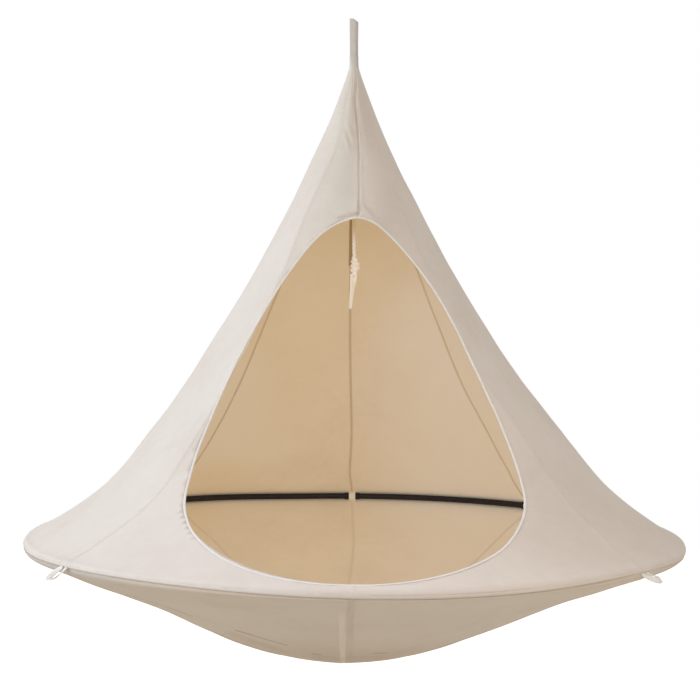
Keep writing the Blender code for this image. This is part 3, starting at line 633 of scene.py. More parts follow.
def laid_rope_recipe():
    """Three strands that wind round a line."""
    tree = Recipe("laid_rope", {"Radius": "Float", "Lay": "Float", "Material": "Material"})
    line = tree.node(
        "GeometryNodeResampleCurve", {"mode": "LENGTH"},
        {"Curve": tree.size("Geometry"), "Length": tree.size("Lay") / 16.0})
    copies = tree.node(
        "GeometryNodeDuplicateElements", {"domain": "SPLINE"}, {"Geometry": line, "Amount": 3})
    along = tree.node("GeometryNodeSplineParameter").of("Length")
    turn = along / tree.size("Lay") * math.tau + copies.of("Duplicate Index") * (math.tau / 3)
    normal = tree.node("GeometryNodeInputNormal")
    side = tree.vector("CROSS_PRODUCT", tree.node("GeometryNodeInputTangent"), normal)
    strand = tree.size("Radius") * 0.50
    reach = tree.size("Radius") - strand
    away = tree.vector(
        "ADD", tree.scaled(normal, turn.math("COSINE") * reach), tree.scaled(side, turn.math("SINE") * reach))
    wound = tree.node("GeometryNodeSetPosition", None, {"Geometry": copies, "Offset": away})
    tree.finish(tree.skin(wound, strand, 10))
    return tree


def whipping_recipe():
    """Twine wound closely round an oval."""
    tree = Recipe("whipping", {
        "Turns": "Float", "Width": "Float", "Flatness": "Float", "Length": "Float", "Twine": "Float",
        "Material": "Material"})
    coil = tree.node("GeometryNodeCurveSpiral", None, {
        "Resolution": 20, "Rotations": tree.size("Turns"), "Start Radius": tree.size("Width"),
        "End Radius": tree.size("Width") * 0.86, "Height": tree.size("Length")})
    oval = tree.node("GeometryNodeTransform", None, {
        "Geometry": coil, "Scale": tree.joined(1.0, tree.size("Flatness"), 1.0)})
    tree.finish(tree.skin(oval, tree.size("Twine"), 6))
    return tree


def bent_tube_recipe():
    """A tube bent to an arc, its ends drawn in a little."""
    tree = Recipe("bent_tube", {
        "Bend Radius": "Float", "Start Angle": "Float", "Sweep": "Float", "Tube Radius": "Float",
        "Steps": "Int", "Draw In": "Float", "Height": "Float", "Material": "Material"})
    arc = tree.node("GeometryNodeCurveArc", {"mode": "RADIUS"}, {
        "Resolution": tree.size("Steps"), "Radius": tree.size("Bend Radius"),
        "Start Angle": tree.size("Start Angle"), "Sweep Angle": tree.size("Sweep")})
    place = tree.node("GeometryNodeTransform", None, {
        "Geometry": arc, "Translation": tree.joined(0.0, 0.0, tree.size("Height"))})
    share = tree.node("GeometryNodeSplineParameter").of("Factor")
    near_end = share.math("MINIMUM", 1.0 - share) * tree.size("Steps")
    drawn_in = 1.0 - (1.0 - near_end.math("MINIMUM", 1.0)) * tree.size("Draw In")
    tree.finish(tree.skin(place, tree.size("Tube Radius"), 24, drawn_in))
    return tree


STITCHES = stitch_recipe()
LAID_ROPE = laid_rope_recipe()
WHIPPING = whipping_recipe()
BENT_TUBE = bent_tube_recipe()


def sew(name, lines, material, body, slot, pitch=0.0038, stitch=0.0029, thread=0.0006, closed=False):
    """Rows of stitches along lines, as one piece."""
    rows = line_object(name, lines, closed)
    piece = STITCHES.run(rows, Pitch=pitch, Stitch=stitch, Thread=thread, Material=material)
    return settle(piece, body, slot)


# Shape of the cloth shell

def smooth(low, high, x):
    t = min(max((x - low) / (high - low or 1e-9), 0.0), 1.0)
    return t * t * (3 - 2 * t)


def hump(x, width):
    return math.exp(-(x / width) ** 2)


def halving(low, high, before):
    """The place between low and high up to which a test holds."""
    for _ in range(40):
        half = (low + high) / 2
        if before(half):
            low = half
        else:
            high = half
    return low


class Profile:
    """A Bezier line in the (radius, height) plane, read by the share of its length."""

    def __init__(self, points, fine=600):
        a, b, c, d = (Vector(p) for p in points)
        self.places = []
        self.ways = []
        self.lengths = [0.0]
        for i in range(fine + 1):
            t = i / fine
            s = 1 - t
            self.places.append(s**3 * a + 3 * s * s * t * b + 3 * s * t * t * c + t**3 * d)
            self.ways.append((s * s * (b - a) + 2 * s * t * (c - b) + t * t * (d - c)).normalized())
            if i:
                self.lengths.append(self.lengths[-1] + (self.places[-1] - self.places[-2]).length)
        self.length = self.lengths[-1]

    def at(self, share):
        """The place at a share of the length, and the way out of the cloth there."""
        wanted = min(max(share, 0.0), 1.0) * self.length
        k = min(bisect.bisect_right(self.lengths, wanted) - 1, len(self.lengths) - 2)
        part = (wanted - self.lengths[k]) / (self.lengths[k + 1] - self.lengths[k])
        way = self.ways[k].lerp(self.ways[k + 1], part).normalized()
        return self.places[k].lerp(self.places[k + 1], part), Vector((-way.y, way.x))


def round_ring(angle):
    out = Vector((math.cos(angle), math.sin(angle)))
    return Vector((RING_RADIUS, 0.0)) + out * RIM_RADIUS, out


WRAP_START = math.pi / 2 - RIM_SLOPE
WRAP_END = FLOOR_SLOPE - math.pi / 2
tip = Vector((APEX_RADIUS, APEX_HEIGHT))
rim_top = round_ring(WRAP_START)[0]
rim_low = round_ring(WRAP_END)[0]
floor_middle = Vector((FLOOR_FLAT, -FLOOR_DEPTH))
CANOPY = Profile((
    tip, tip + APEX_PULL,
    rim_top + Vector((-math.cos(RIM_SLOPE), math.sin(RIM_SLOPE))) * RIM_PULL, rim_top))
FLOOR = Profile((
    rim_low, rim_low - Vector((math.cos(FLOOR_SLOPE), math.sin(FLOOR_SLOPE))) * FLOOR_PULL,
    floor_middle + Vector((FLOOR_SAG, 0.0)), floor_middle))


def seam_angle(azimuth):
    """Where canopy and floor are sewn together, round the tube: low in front, high at the sides."""
    aside = math.degrees(math.remainder(azimuth, math.tau))
    lift = (47 * hump(aside + 26, 27) + 38 * hump(aside - 42, 19)
            - 26 * hump(aside + 74, 20) - 52 * hump(aside - 80, 25))
    return math.radians(-20 - 36 * math.cos(2 * azimuth) - 5 * math.cos(azimuth) + lift)


def facet_share(height):
    return FACET * smooth(0.0, FACET_RISE, abs(height)) * (1 - 0.8 * smooth(0.19, 0.28, -height))


def drawn(azimuth, height):
    """Where tension draws a line of the cloth: seams lean to the front high up, and outwards at the back."""
    azimuth = math.remainder(azimuth, math.tau)
    if abs(azimuth) < math.pi / 2:
        pull = -(3 + 3 * smooth(0.2, 0.7, height) + 5 * smooth(0.8, 0.93, height)) * smooth(0.0, 0.15, height)
    else:
        pull = (3.6 - 1.1 * (azimuth > 0) * smooth(0.52, 0.30, height)) * smooth(0.0, 0.12, height)
    degrees = pull * math.sin(2 * azimuth)
    back = (1 - math.cos(azimuth)) / 2
    degrees += back * (1.25 * smooth(0.0, 0.10, height) + 0.7 * smooth(0.35, 0.7, height)
                       - 2.0 * smooth(0.0, 0.15, -height))
    degrees -= 0.65 * (1 - back) * smooth(0.10, 0.02, height)
    degrees += 5.6 * hump(azimuth, 0.5) * smooth(0.60, 0.90, height) * (1 - 0.5 * smooth(0.95, 1.06, height))
    degrees += 15 * hump(azimuth, 0.45) * smooth(1.03, 1.10, height)
    degrees += 8 * hump(azimuth + 0.785, 0.40) * smooth(0.70, 0.95, height)
    return azimuth + math.radians(degrees)


def hung(point):
    """Where a point of the tent ends up: the ring hangs askew, the bowl leans to the left."""
    height = point.z - RING_Z
    point.z -= (ASKEW * point.x + SAG * point.x ** 2) * (1 - smooth(0.0, 0.75, height))
    point.x += 0.0085 * hump(height - 0.19, 0.15) * smooth(0.0, 0.06, height)
    point.x -= 0.024 * smooth(0.02, 0.30, -height) + 0.006 * smooth(0.015, 0.07, -height)
    rear_left = smooth(0.12, 0.58, -point.x) * smooth(0.10, 0.40, point.y)
    point.z += 0.0095 * rear_left * (1 - smooth(0.0, 0.40, abs(height)))
    return point


def shell_point(place, azimuth, share):
    """A point at an azimuth: round at share 0, on a flat-sided polygon at share 1."""
    gore = math.floor(azimuth / GORE_ANGLE)
    here, first, last = (drawn(a, place.y) for a in (azimuth, gore * GORE_ANGLE, (gore + 1) * GORE_ANGLE))
    half = math.remainder(last - first, math.tau) / 2
    flat = math.cos(half) / math.cos(math.remainder(here - first, math.tau) - half)
    radius = place.x * (1 - share * (1 - flat))
    return Vector((radius * math.sin(here), -radius * math.cos(here), RING_Z + place.y))


def from_seam(azimuth, radius):
    """Distance across the cloth to the nearest seam, and the seam's number."""
    nearest = round(azimuth / GORE_ANGLE)
    return abs(azimuth - nearest * GORE_ANGLE) * radius, nearest % GORES


def door_table():
    """The doorway's outline as radii about its middle, by angle from straight up."""
    table = []
    upper = ((0.0, DOOR_TOP), (DOOR_TOP_ROUND, DOOR_TOP),
             (DOOR_HALF_WIDTH, DOOR_WIDEST + DOOR_SIDE_UP), (DOOR_HALF_WIDTH, DOOR_WIDEST))
    lower = ((DOOR_HALF_WIDTH, DOOR_WIDEST), (DOOR_HALF_WIDTH, DOOR_WIDEST - DOOR_SIDE_DOWN),
             (DOOR_BOTTOM_ROUND, DOOR_BOTTOM), (0.0, DOOR_BOTTOM))
    for part in (upper, lower):
        for place in Profile(part, 240).places:
            offset = place - DOOR_MIDDLE
            table.append((math.atan2(offset.x, offset.y), offset.length))
    return sorted(table)


DOOR_TABLE = door_table()
DOOR_ANGLES = [angle for angle, _ in DOOR_TABLE]


def door_radius(angle):
    angle = abs(math.remainder(angle, math.tau))
    k = min(max(bisect.bisect_right(DOOR_ANGLES, angle) - 1, 0), len(DOOR_TABLE) - 2)
    (a0, r0), (a1, r1) = DOOR_TABLE[k], DOOR_TABLE[k + 1]
    part = (angle - a0) / max(a1 - a0, 1e-9)
    return r0 + (r1 - r0) * min(max(part, 0.0), 1.0)


def door_shift(height):
    """How far the doorway hangs aside: a little to the left low down."""
    return -0.0134 * hump(height - 0.16, 0.19) + 0.0055 * smooth(0.085, 0.045, height)


def door_gap(x, height):
    """How far a place in the front view lies outside the doorway."""
    offset = Vector((x - door_shift(height), height)) - DOOR_MIDDLE
    return offset.length - door_radius(math.atan2(offset.x, offset.y))


def canopy_base(azimuth, row):
    """Profile place and way out: rows 0 to 1 run down the canopy, 1 to 2 round the tube."""
    if row <= 1.0:
        return CANOPY.at(row)
    angle = WRAP_START + (seam_angle(azimuth) - WRAP_START) * (row - 1.0)
    return round_ring(angle)


def floor_base(azimuth, row):
    """Rows 0 to 1 run round the tube, 1 to 2 down the floor, 2 to 3 over its flat middle."""
    if row < 1.0:
        start = seam_angle(azimuth)
        return round_ring(start + (WRAP_END - start) * row)
    if row <= 2.0:
        return FLOOR.at(row - 1.0)
    return Vector((FLOOR_FLAT * (3.0 - row), -FLOOR_DEPTH)), Vector((0.0, -1.0))


def waves(place, azimuth, scale, seed):
    """Smooth noise on the cloth, from -1 to 1."""
    spot = Vector((place.x * math.sin(azimuth), -place.x * math.cos(azimuth), place.y + seed))
    return noise.noise(spot * scale)


def valley(x, height, start, end, width):
    """Nearness to a short line in the front view, from 0 to 1, strongest at its start."""
    a = Vector(start)
    way = Vector(end) - a
    offset = Vector((x, height)) - a
    along = min(max(offset.dot(way) / way.length_squared, 0.0), 1.0)
    return hump((offset - way * along).length, width) * (1 - 0.75 * along)


def folds(table, x, height):
    """Rise of the cloth over short folds."""
    return sum(rise * valley(x, height, start, end, width) for rise, start, end, width in table)


# Folds as rise, start, end and width in the front view: over the doorway's top, and in the bowl
DOOR_FOLDS = (
    (-0.0062, (0.002, 0.010), (-0.055, -0.002), 0.0048),
    (0.0036, (-0.004, 0.022), (-0.050, 0.012), 0.0070),
    (0.0034, (0.016, 0.020), (0.075, -0.026), 0.0065),
    (-0.0022, (0.026, 0.030), (0.085, -0.012), 0.0080))
BOWL_FOLDS = (
    (-0.0052, (-0.235, -0.165), (-0.125, -0.215), 0.0075),
    (0.0030, (-0.235, -0.182), (-0.125, -0.230), 0.0090),
    (-0.0040, (0.290, -0.130), (0.190, -0.190), 0.0080))

# Slack of the cloth as rise, scale and seed of its waves, the last one strongest in mid gore
CANOPY_SLACK = ((0.0030, 4.5, 3.1), (0.0012, 13.0, 7.7), (0.0045, 2.2, 11.3))
FLOOR_SLACK = ((0.0030, 4.0, 21.0), (0.0013, 12.0, 5.0), (0.0040, 2.0, 31.0))


def mid_gore(azimuth):
    """0 at the seams and 1 in the middle of a gore."""
    return math.sin(math.pi * (azimuth % GORE_ANGLE) / GORE_ANGLE)


def slack(place, azimuth, table):
    """Rise of cloth that isn't pulled quite flat."""
    near, fine, broad = (rise * waves(place, azimuth, scale, seed) for rise, scale, seed in table)
    return near + fine + broad * mid_gore(azimuth)


def crowding(radius):
    """How far the columns beside a seam are squeezed together where the gores are narrow."""
    return min(1.0, 0.30 * GORE_ANGLE * radius / LANES[-1])


def fell_rise(aside, radius):
    """The step of the flat seam."""
    squeeze = crowding(radius)
    flat = 1 - smooth((FELL_HALF - 0.0012) * squeeze, (FELL_HALF + 0.0012) * squeeze, aside)
    return FELL_RISE * flat * smooth(0.012, 0.05, radius)


def front_seam_rise(x, aside, down, height):
    """The front seam over the doorway: a groove that wanders, between two ridges."""
    ridge = smooth(0.07, 0.15, down) * (1 - 0.5 * smooth(DOOR_TOP + 0.05, DOOR_TOP - 0.02, height))
    x -= 0.0010 * math.sin(down * 34.0 + 0.6)
    rise = 0.0010 * hump(x + 0.0070, 0.0045) * (0.7 + 0.3 * math.sin(down * 50.0))
    rise += 0.0013 * hump(x - 0.0070, 0.0045) * (0.6 + 0.4 * math.sin(down * 70.0))
    rise -= 0.0019 * hump(x, 0.0023)
    return ridge * rise + 0.0010 * hump(down - 0.30, 0.12) * hump(aside, 0.018) * math.sin(down * 150.0)


def door_edge_rise(x, height):
    """Ripples and a dip along the doorway's edge, the folds over its top, and small wrinkles high up."""
    gap = max(door_gap(x, height), 0.0)
    lap = math.atan2(x, height - DOOR_MIDDLE.y)
    ripple = math.sin(9.0 * lap + 1.0) * 0.6 + math.sin(21.0 * lap + 0.4) * 0.4
    rise = (0.0008 * ripple * hump(gap, 0.030) - 0.0010 * hump(gap, 0.010)) * smooth(0.02, 0.20, height)
    if height > DOOR_TOP - 0.12:
        rise += folds(DOOR_FOLDS, x, height - DOOR_TOP)
    wrinkles = hump(height - 0.925, 0.030) * hump(x + 0.036, 0.014)
    return rise + 0.0020 * wrinkles * math.sin(230.0 * (x + 0.5 * height))


def canopy_relief(azimuth, row, place):
    """How far the canopy's face stands out from its plain shape."""
    aside, seam = from_seam(azimuth, place.x)
    height = place.y
    down = row * CANOPY.length
    free = smooth(0.0, 0.25, down) * (1 - smooth(CANOPY.length - 0.16, CANOPY.length - 0.01, down))
    rise = fell_rise(aside, place.x) * (1 - 0.7 * smooth(0.15, 0.40, height))
    rise += free * slack(place, azimuth, CANOPY_SLACK)
    pleats = hump(down - 0.03, 0.05) * smooth(0.0, 0.02, down)
    rise += 0.0003 * pleats * math.cos(3 * GORES * azimuth + 2.2 * waves(place, azimuth, 30.0, 1.0))
    if row > 1.0:
        rise -= GROOVE * smooth(1.8, 2.0, row) + 0.0005 * hump((row - 1.62) * 0.03, 0.0012)
        hem = smooth(1.1, 1.4, row) * (1 - smooth(1.9, 2.0, row))
        return rise + 0.00035 * hem * math.sin(190.0 * azimuth + 3.0 * waves(place, azimuth, 9.0, 40.0))
    if math.cos(azimuth) > 0.2:
        x = place.x * math.sin(azimuth)
        if seam == 0:
            rise += front_seam_rise(x, aside, down, height)
        rise += door_edge_rise(x, height)
        rise += 0.0050 * mid_gore(azimuth) * smooth(0.62, 0.78, height) * smooth(1.15, 1.0, height)
    rise -= 0.0105 * hump(height - 0.130, 0.075) * math.sin(azimuth) ** 2
    return rise - 0.0035 * hump(height - 0.34, 0.14)


def floor_relief(azimuth, row, place):
    """How far the floor's face stands out from its plain shape."""
    aside, seam = from_seam(azimuth, place.x)
    down = (row - 1.0) * FLOOR.length
    free = smooth(0.01, 0.12, down) * smooth(0.02, 0.14, place.x)
    rise = fell_rise(aside, place.x) + free * slack(place, azimuth, FLOOR_SLACK)
    if math.cos(azimuth) > 0:
        x = place.x * math.sin(azimuth)
        if seam == 0:
            proud = free * (1 - smooth(0.20, 0.27, -place.y))
            rise += proud * (0.0026 * hump(x + 0.004, 0.0085) - 0.0016 * hump(x - 0.015, 0.0080))
        rise += free * folds(BOWL_FOLDS, x, place.y)
    swell = 0.0050 * hump(down - 0.09, 0.07)
    if azimuth % math.tau > math.pi:
        swell += 0.0070 * hump(down - 0.13, 0.09)
    rise += swell * smooth(0.0, 0.03, down) * math.sin(azimuth) ** 2
    side = math.degrees(math.remainder(azimuth, math.tau))
    rise += 0.0018 * hump(side + 68, 22) * smooth(0.1, 0.6, row) * (1 - smooth(1.0, 1.10, row))
    return rise - GROOVE * (1 - smooth(0.0, 0.2, row))


def cloth_point(base, relief, azimuth, row, lift):
    """A finished point on the canopy or the floor, at a lift over its face."""
    place, out = base(azimuth, row)
    face = place + out * (lift + relief(azimuth, row, place))
    return hung(shell_point(face, azimuth, facet_share(place.y)))


def canopy_point(azimuth, row, lift=0.0):
    return cloth_point(canopy_base, canopy_relief, azimuth, row, lift)


def floor_point(azimuth, row, lift=0.0):
    return cloth_point(floor_base, floor_relief, azimuth, row, lift)


def gore_columns(radius, inner):
    """Azimuths across one gore from its first seam: close beside the seams, even between."""
    squeeze = crowding(radius) / max(radius, 1e-6)
    lanes = [lane * squeeze for lane in LANES]
    rest = GORE_ANGLE - 2 * lanes[-1]
    return [*lanes, *(lanes[-1] + rest * k / inner for k in range(1, inner)),
            *(GORE_ANGLE - lane for lane in reversed(lanes[1:]))]


class ClothMesh:
    """A closed band of cloth round the tent whose points are kept as (azimuth, row)."""

    def __init__(self, base, rows, inner):
        self.base = base
        self.bm = bmesh.new()
        self.spots = {}
        grid = []
        for row in rows:
            line = []
            for gore in range(GORES):
                radius = base(GORE_ANGLE * (gore + 0.5), row)[0].x
                for a in gore_columns(radius, inner):
                    line.append(self.add(GORE_ANGLE * gore + a, row))
            grid.append(line)
        for upper, lower in zip(grid, grid[1:]):
            count = len(upper)
            for j in range(count):
                k = (j + 1) % count
                self.bm.faces.new((upper[j], lower[j], lower[k], upper[k]))
        self.last_line = grid[-1]

    def add(self, azimuth, row):
        vert = self.bm.verts.new(self.plain(azimuth, row))
        self.spots[vert] = (azimuth, row)
        return vert

    def plain(self, azimuth, row):
        place, _ = self.base(azimuth, row)
        return shell_point(place, azimuth, facet_share(place.y))

    def close_pole(self, row):
        pole = self.add(0.0, row)
        count = len(self.last_line)
        for j in range(count):
            self.bm.faces.new((self.last_line[j], pole, self.last_line[(j + 1) % count]))

    def outside(self, azimuth, row):
        """Distance outside the doorway for a place on the cloth."""
        if math.cos(azimuth) < 0.05 or row > 1.0:
            return 1.0
        point = self.plain(azimuth, row)
        return door_gap(point.x, point.z - RING_Z)

    def cut_doorway(self):
        """Cuts the cloth along the doorway: close points move onto its line, and long edges are split."""
        gaps = {v: self.outside(*spot) for v, spot in self.spots.items()}
        moved = set()

        def crossing(a, b):
            (a0, r0), (a1, r1) = self.spots[a], self.spots[b]
            turn, drop = math.remainder(a1 - a0, math.tau), r1 - r0
            inside = gaps[a] < 0
            share = halving(0.0, 1.0, lambda t: (self.outside(a0 + turn * t, r0 + drop * t) < 0) == inside)
            return (a0 + turn * share, r0 + drop * share), share

        def land(vert, spot):
            self.spots[vert] = spot
            vert.co = self.plain(*spot)
            gaps[vert] = 0.0
            moved.add(vert)

        for edge in list(self.bm.edges):
            a, b = edge.verts
            if a in moved or b in moved or (gaps[a] < 0) == (gaps[b] < 0):
                continue
            spot, share = crossing(a, b)
            if share < 0.25 or share > 0.75:
                land(a if share < 0.25 else b, spot)
        for edge in list(self.bm.edges):
            a, b = edge.verts
            if gaps[a] * gaps[b] < 0:
                spot, share = crossing(a, b)
                land(bmesh.utils.edge_split(edge, a, share)[1], spot)
        for face in list(self.bm.faces):
            ring = list(face.verts)
            if min(gaps[v] for v in ring) < 0 < max(gaps[v] for v in ring):
                ends = [v for v in ring if gaps[v] == 0.0]
                if len(ends) == 2:
                    bmesh.utils.face_split(face, *ends)
        doomed = [f for f in self.bm.faces if sum(gaps[v] for v in f.verts) < 0]
        bmesh.ops.delete(self.bm, geom=doomed, context="FACES")
        self.spots = {v: self.spots[v] for v in self.bm.verts}

    def dress(self, name, point, length, materials, thickness):
        """Moves the points to their places, lays the thread maps and gives the cloth its thickness."""
        for vert, (azimuth, row) in self.spots.items():
            vert.co = point(azimuth, row)
        cloth = self.bm.loops.layers.uv.new("cloth")
        seam = self.bm.loops.layers.uv.new("seam")
        for face in self.bm.faces:
            spots = [self.spots[v] for v in face.verts]
            start = spots[0][0]
            turned = [start + math.remainder(a - start, math.tau) for a, _ in spots]
            gore = math.floor(sum(turned) / len(turned) / GORE_ANGLE)
            for loop, azimuth, (_, row) in zip(face.loops, turned, spots):
                radius = self.base(azimuth, row)[0].x
                along = length(row)
                loop[cloth].uv = ((azimuth - (gore + 0.5) * GORE_ANGLE) * radius, along)
                loop[seam].uv = (from_seam(azimuth, radius)[0], along)
        piece = bmesh_object(name, self.bm, materials, recalculate=False)
        wall = piece.modifiers.new("thickness", "SOLIDIFY")
        wall.thickness = thickness
        wall.offset = -1.0
        wall.material_offset = 1
        wall.material_offset_rim = 0
        return plain_mesh(piece)


def steps(first, last, count):
    return [first + (last - first) * i / count for i in range(count + 1)]


def row_at(height):
    """The canopy's row at a height over the ring."""
    return halving(0.0, 1.0, lambda row: CANOPY.at(row)[0].y > height)


def canopy_cloth():
    above, below = row_at(DOOR_TOP + 0.040), row_at(DOOR_TOP - 0.045)
    rows = steps(0.0, above, 38) + steps(above, below, 28)[1:] + steps(below, 1.0, 74)[1:]
    cloth = ClothMesh(canopy_base, rows + steps(1.0, 2.0, 10)[1:], 27)
    cloth.cut_doorway()
    wrap = RIM_RADIUS * 1.6
    piece = cloth.dress(
        "canopy_cloth", canopy_point,
        lambda row: CANOPY.length * (min(row, 1.0) - 1.0) + wrap * (max(row - 1.0, 0.0) - 1.0),
        (outer_canvas, inner_canvas), CLOTH)
    settle(piece, "tent", "canopy_canvas", *(f"canopy_gore_{i + 1}" for i in range(GORES)))


def floor_cloth():
    cloth = ClothMesh(floor_base, steps(0.0, 1.0, 8) + steps(1.0, 2.0, 84)[1:] + [2.35, 2.7], 36)
    cloth.close_pole(3.0)
    wrap = RIM_RADIUS * 0.9
    piece = cloth.dress(
        "floor_cloth", floor_point,
        lambda row: wrap * min(row, 1.0) + FLOOR.length * max(row - 1.0, 0.0),
        (under_canvas, inner_canvas), CLOTH)
    settle(piece, "tent", "floor_canvas", *(f"floor_gore_{i + 1}" for i in range(GORES)))


canopy_cloth()
floor_cloth()


# Strips and lofts

def lengths_along(points):
    lengths = [0.0]
    for a, b in zip(points, points[1:]):
        lengths.append(lengths[-1] + (b - a).length)
    return lengths


def add_strip(bm, faces, uv, across, along):
    """A closed flat strip between two faces of points, with its tape map."""
    top, low = ([[bm.verts.new(p) for p in row] for row in face] for face in faces)
    rows = len(top)
    cols = len(top[0])

    def quad(corners, spots):
        face = bm.faces.new(corners)
        for loop, (i, j) in zip(face.loops, spots):
            loop[uv].uv = (across[j], along[i])

    for i in range(rows - 1):
        for j in range(cols - 1):
            spots = ((i, j), (i, j + 1), (i + 1, j + 1), (i + 1, j))
            quad([top[a][b] for a, b in spots], spots)
            quad([low[a][b] for a, b in reversed(spots)], tuple(reversed(spots)))
        for j in (0, cols - 1):
            spots = ((i, j), (i + 1, j))
            quad((top[i][j], top[i + 1][j], low[i + 1][j], low[i][j]), (*spots, *reversed(spots)))
    for j in range(cols - 1):
        for i in (0, rows - 1):
            spots = ((i, j), (i, j + 1))
            quad((top[i][j], top[i][j + 1], low[i][j + 1], low[i][j]), (*spots, *reversed(spots)))


def tape_piece(name, strips, across, material):
    """A piece of flat strips. A strip is two faces, and a face is rows of points across the tape."""
    bm = bmesh.new()
    uv = bm.loops.layers.uv.new("tape")
    for faces in strips:
        add_strip(bm, faces, uv, across, lengths_along([row[len(across) // 2] for row in faces[0]]))
    return bmesh_object(name, bm, [material])


def across_tape(half, *shares):
    """Places across a tape, the same on both sides of its middle."""
    return [-half * share for share in reversed(shares)] + [0.0] + [half * share for share in shares]


def loft(name, rings, material, caps=True, cloth=False, closed=False):
    """Skins closed rings one after the other, with a map in metres round and along."""
    bm = bmesh.new()
    uv = bm.loops.layers.uv.new("cloth" if cloth else "tape")
    seam = bm.loops.layers.uv.new("seam") if cloth else None
    rings = [[Vector(p) for p in ring] for ring in rings]
    verts = [[bm.verts.new(p) for p in ring] for ring in rings]
    count = len(rings[0])
    middle = rings[len(rings) // 2]
    girth = lengths_along(middle + middle[:1])
    centres = [sum(ring, Vector()) / count for ring in rings]
    if closed:
        verts.append(verts[0])
        centres.append(centres[0])
    lengths = lengths_along(centres)
    for i, (a, b) in enumerate(zip(verts, verts[1:])):
        for k in range(count):
            m = (k + 1) % count
            face = bm.faces.new((a[k], a[m], b[m], b[k]))
            corners = ((k, i), (k + 1, i), (k + 1, i + 1), (k, i + 1))
            for loop, (u, v) in zip(face.loops, corners):
                loop[uv].uv = (girth[u], lengths[v])
                if cloth:
                    loop[seam].uv = (0.05, 0.5 + lengths[v])
    if caps:
        bm.faces.new(verts[0])
        bm.faces.new(verts[-1])
    return bmesh_object(name, bm, [material])


# Tapes and stitches on the seams

def seam_tapes(name, point, base, spans, material, *nodes, half=TAPE_HALF):
    """Tapes sewn over the inside of the seams."""
    across = across_tape(half, 0.5, 0.92, 1.0)
    strips = []
    for azimuth, rows in spans:
        faces = ([], [])
        for row in rows:
            radius = base(azimuth, row)[0].x
            squeeze = min(1.0, 0.13 * radius / half) / radius
            for face, lift, bevel in zip(faces, (-TAPE_FACE, -TAPE_FACE - TAPE), (0.0, 0.0004)):
                face.append([point(azimuth + a * squeeze, row, lift + (bevel if abs(a) == half else 0.0))
                             for a in across])
        strips.append(faces)
    settle(tape_piece(name, strips, across, material), "tent", "seam_tape", *nodes)


def seam_lines(point, base, spans, lane, lift):
    """Lines beside the seams for stitches, on the cloth at a lift."""
    lines = []
    for azimuth, rows in spans:
        for side in (-lane, lane):
            line = []
            for row in rows:
                radius = base(azimuth, row)[0].x
                line.append(point(azimuth + side * crowding(radius) / radius, row, lift))
            lines.append(line)
    return lines


def at_seams(rows, seams=range(GORES)):
    """The same rows at several seams, as (azimuth, rows)."""
    return [(GORE_ANGLE * k, rows) for k in seams]


def rim_line(point, row):
    return [point(math.tau * k / 720, row, STITCH_LIFT) for k in range(720)]


BACK_SEAM = GORES // 2
SIDE_SEAMS = [k for k in range(1, GORES) if k != BACK_SEAM]
door_top_row, door_bottom_row = row_at(DOOR_TOP), row_at(DOOR_BOTTOM)
crown_row = CROWN_DEPTH / CANOPY.length
shaded_row = row_at(0.668)
canopy_spans = [(0.0, steps(crown_row, door_top_row - 0.003, 44)), (math.pi, steps(shaded_row, 0.992, 90))]
canopy_spans += at_seams(steps(crown_row, 0.992, 128), SIDE_SEAMS)
# The wider, darker tape high on the back seam is painted shade under the crown.
shaded_spans = at_seams(steps(crown_row, shaded_row + 0.002, 40), [BACK_SEAM])
floor_spans = at_seams(steps(1.012, 1.985, 84))
seam_tapes("canopy_tapes", canopy_point, canopy_base, canopy_spans, brown_tape, "canopy_seam_web")
seam_tapes("back_tape", canopy_point, canopy_base, shaded_spans, dark_tape, half=0.0044)
seam_tapes("floor_tapes", floor_point, floor_base, floor_spans, floor_tape, "floor_seam_web")

outer_spans = [(0.0, steps(0.03, door_top_row - 0.004, 60)), (0.0, steps(door_bottom_row + 0.002, 1.0, 6))]
outer_spans += at_seams(steps(0.03, 1.0, 150), range(1, GORES))
under_spans = at_seams(steps(1.0, 1.985, 100))
tape_lane, tape_lift = TAPE_HALF * 0.72, -TAPE_FACE - TAPE
for sewn, lines, thread, slot in (
        ("canopy_fell", seam_lines(canopy_point, canopy_base, outer_spans, STITCH_LANE, STITCH_LIFT),
         pale_thread, "canopy_canvas"),
        ("canopy_tape", seam_lines(canopy_point, canopy_base, canopy_spans, tape_lane, tape_lift),
         tan_thread, "seam_tape"),
        ("floor_fell", seam_lines(floor_point, floor_base, under_spans, STITCH_LANE, STITCH_LIFT),
         pale_thread, "floor_canvas"),
        ("floor_tape", seam_lines(floor_point, floor_base, floor_spans, tape_lane, tape_lift),
         floor_thread, "seam_tape")):
    sew(f"{sewn}_stitches", lines, thread, "tent", slot)
sew("rim_stitches_upper", [rim_line(canopy_point, 1.62)], hem_thread, "tent", "canopy_canvas", closed=True)
sew("rim_stitches_lower", [rim_line(floor_point, 0.28)], pale_thread, "tent", "floor_canvas", closed=True)


# Doorway binding

def front_spot(x, height):
    """Azimuth and row of the place on the canopy that the front view shows at (x, height)."""
    row = row_at(height)
    place = CANOPY.at(row)[0]
    share = facet_share(place.y)
    azimuth = halving(0.0, math.pi / 2, lambda a: shell_point(place, a, share).x < abs(x))
    return math.copysign(azimuth, x), row


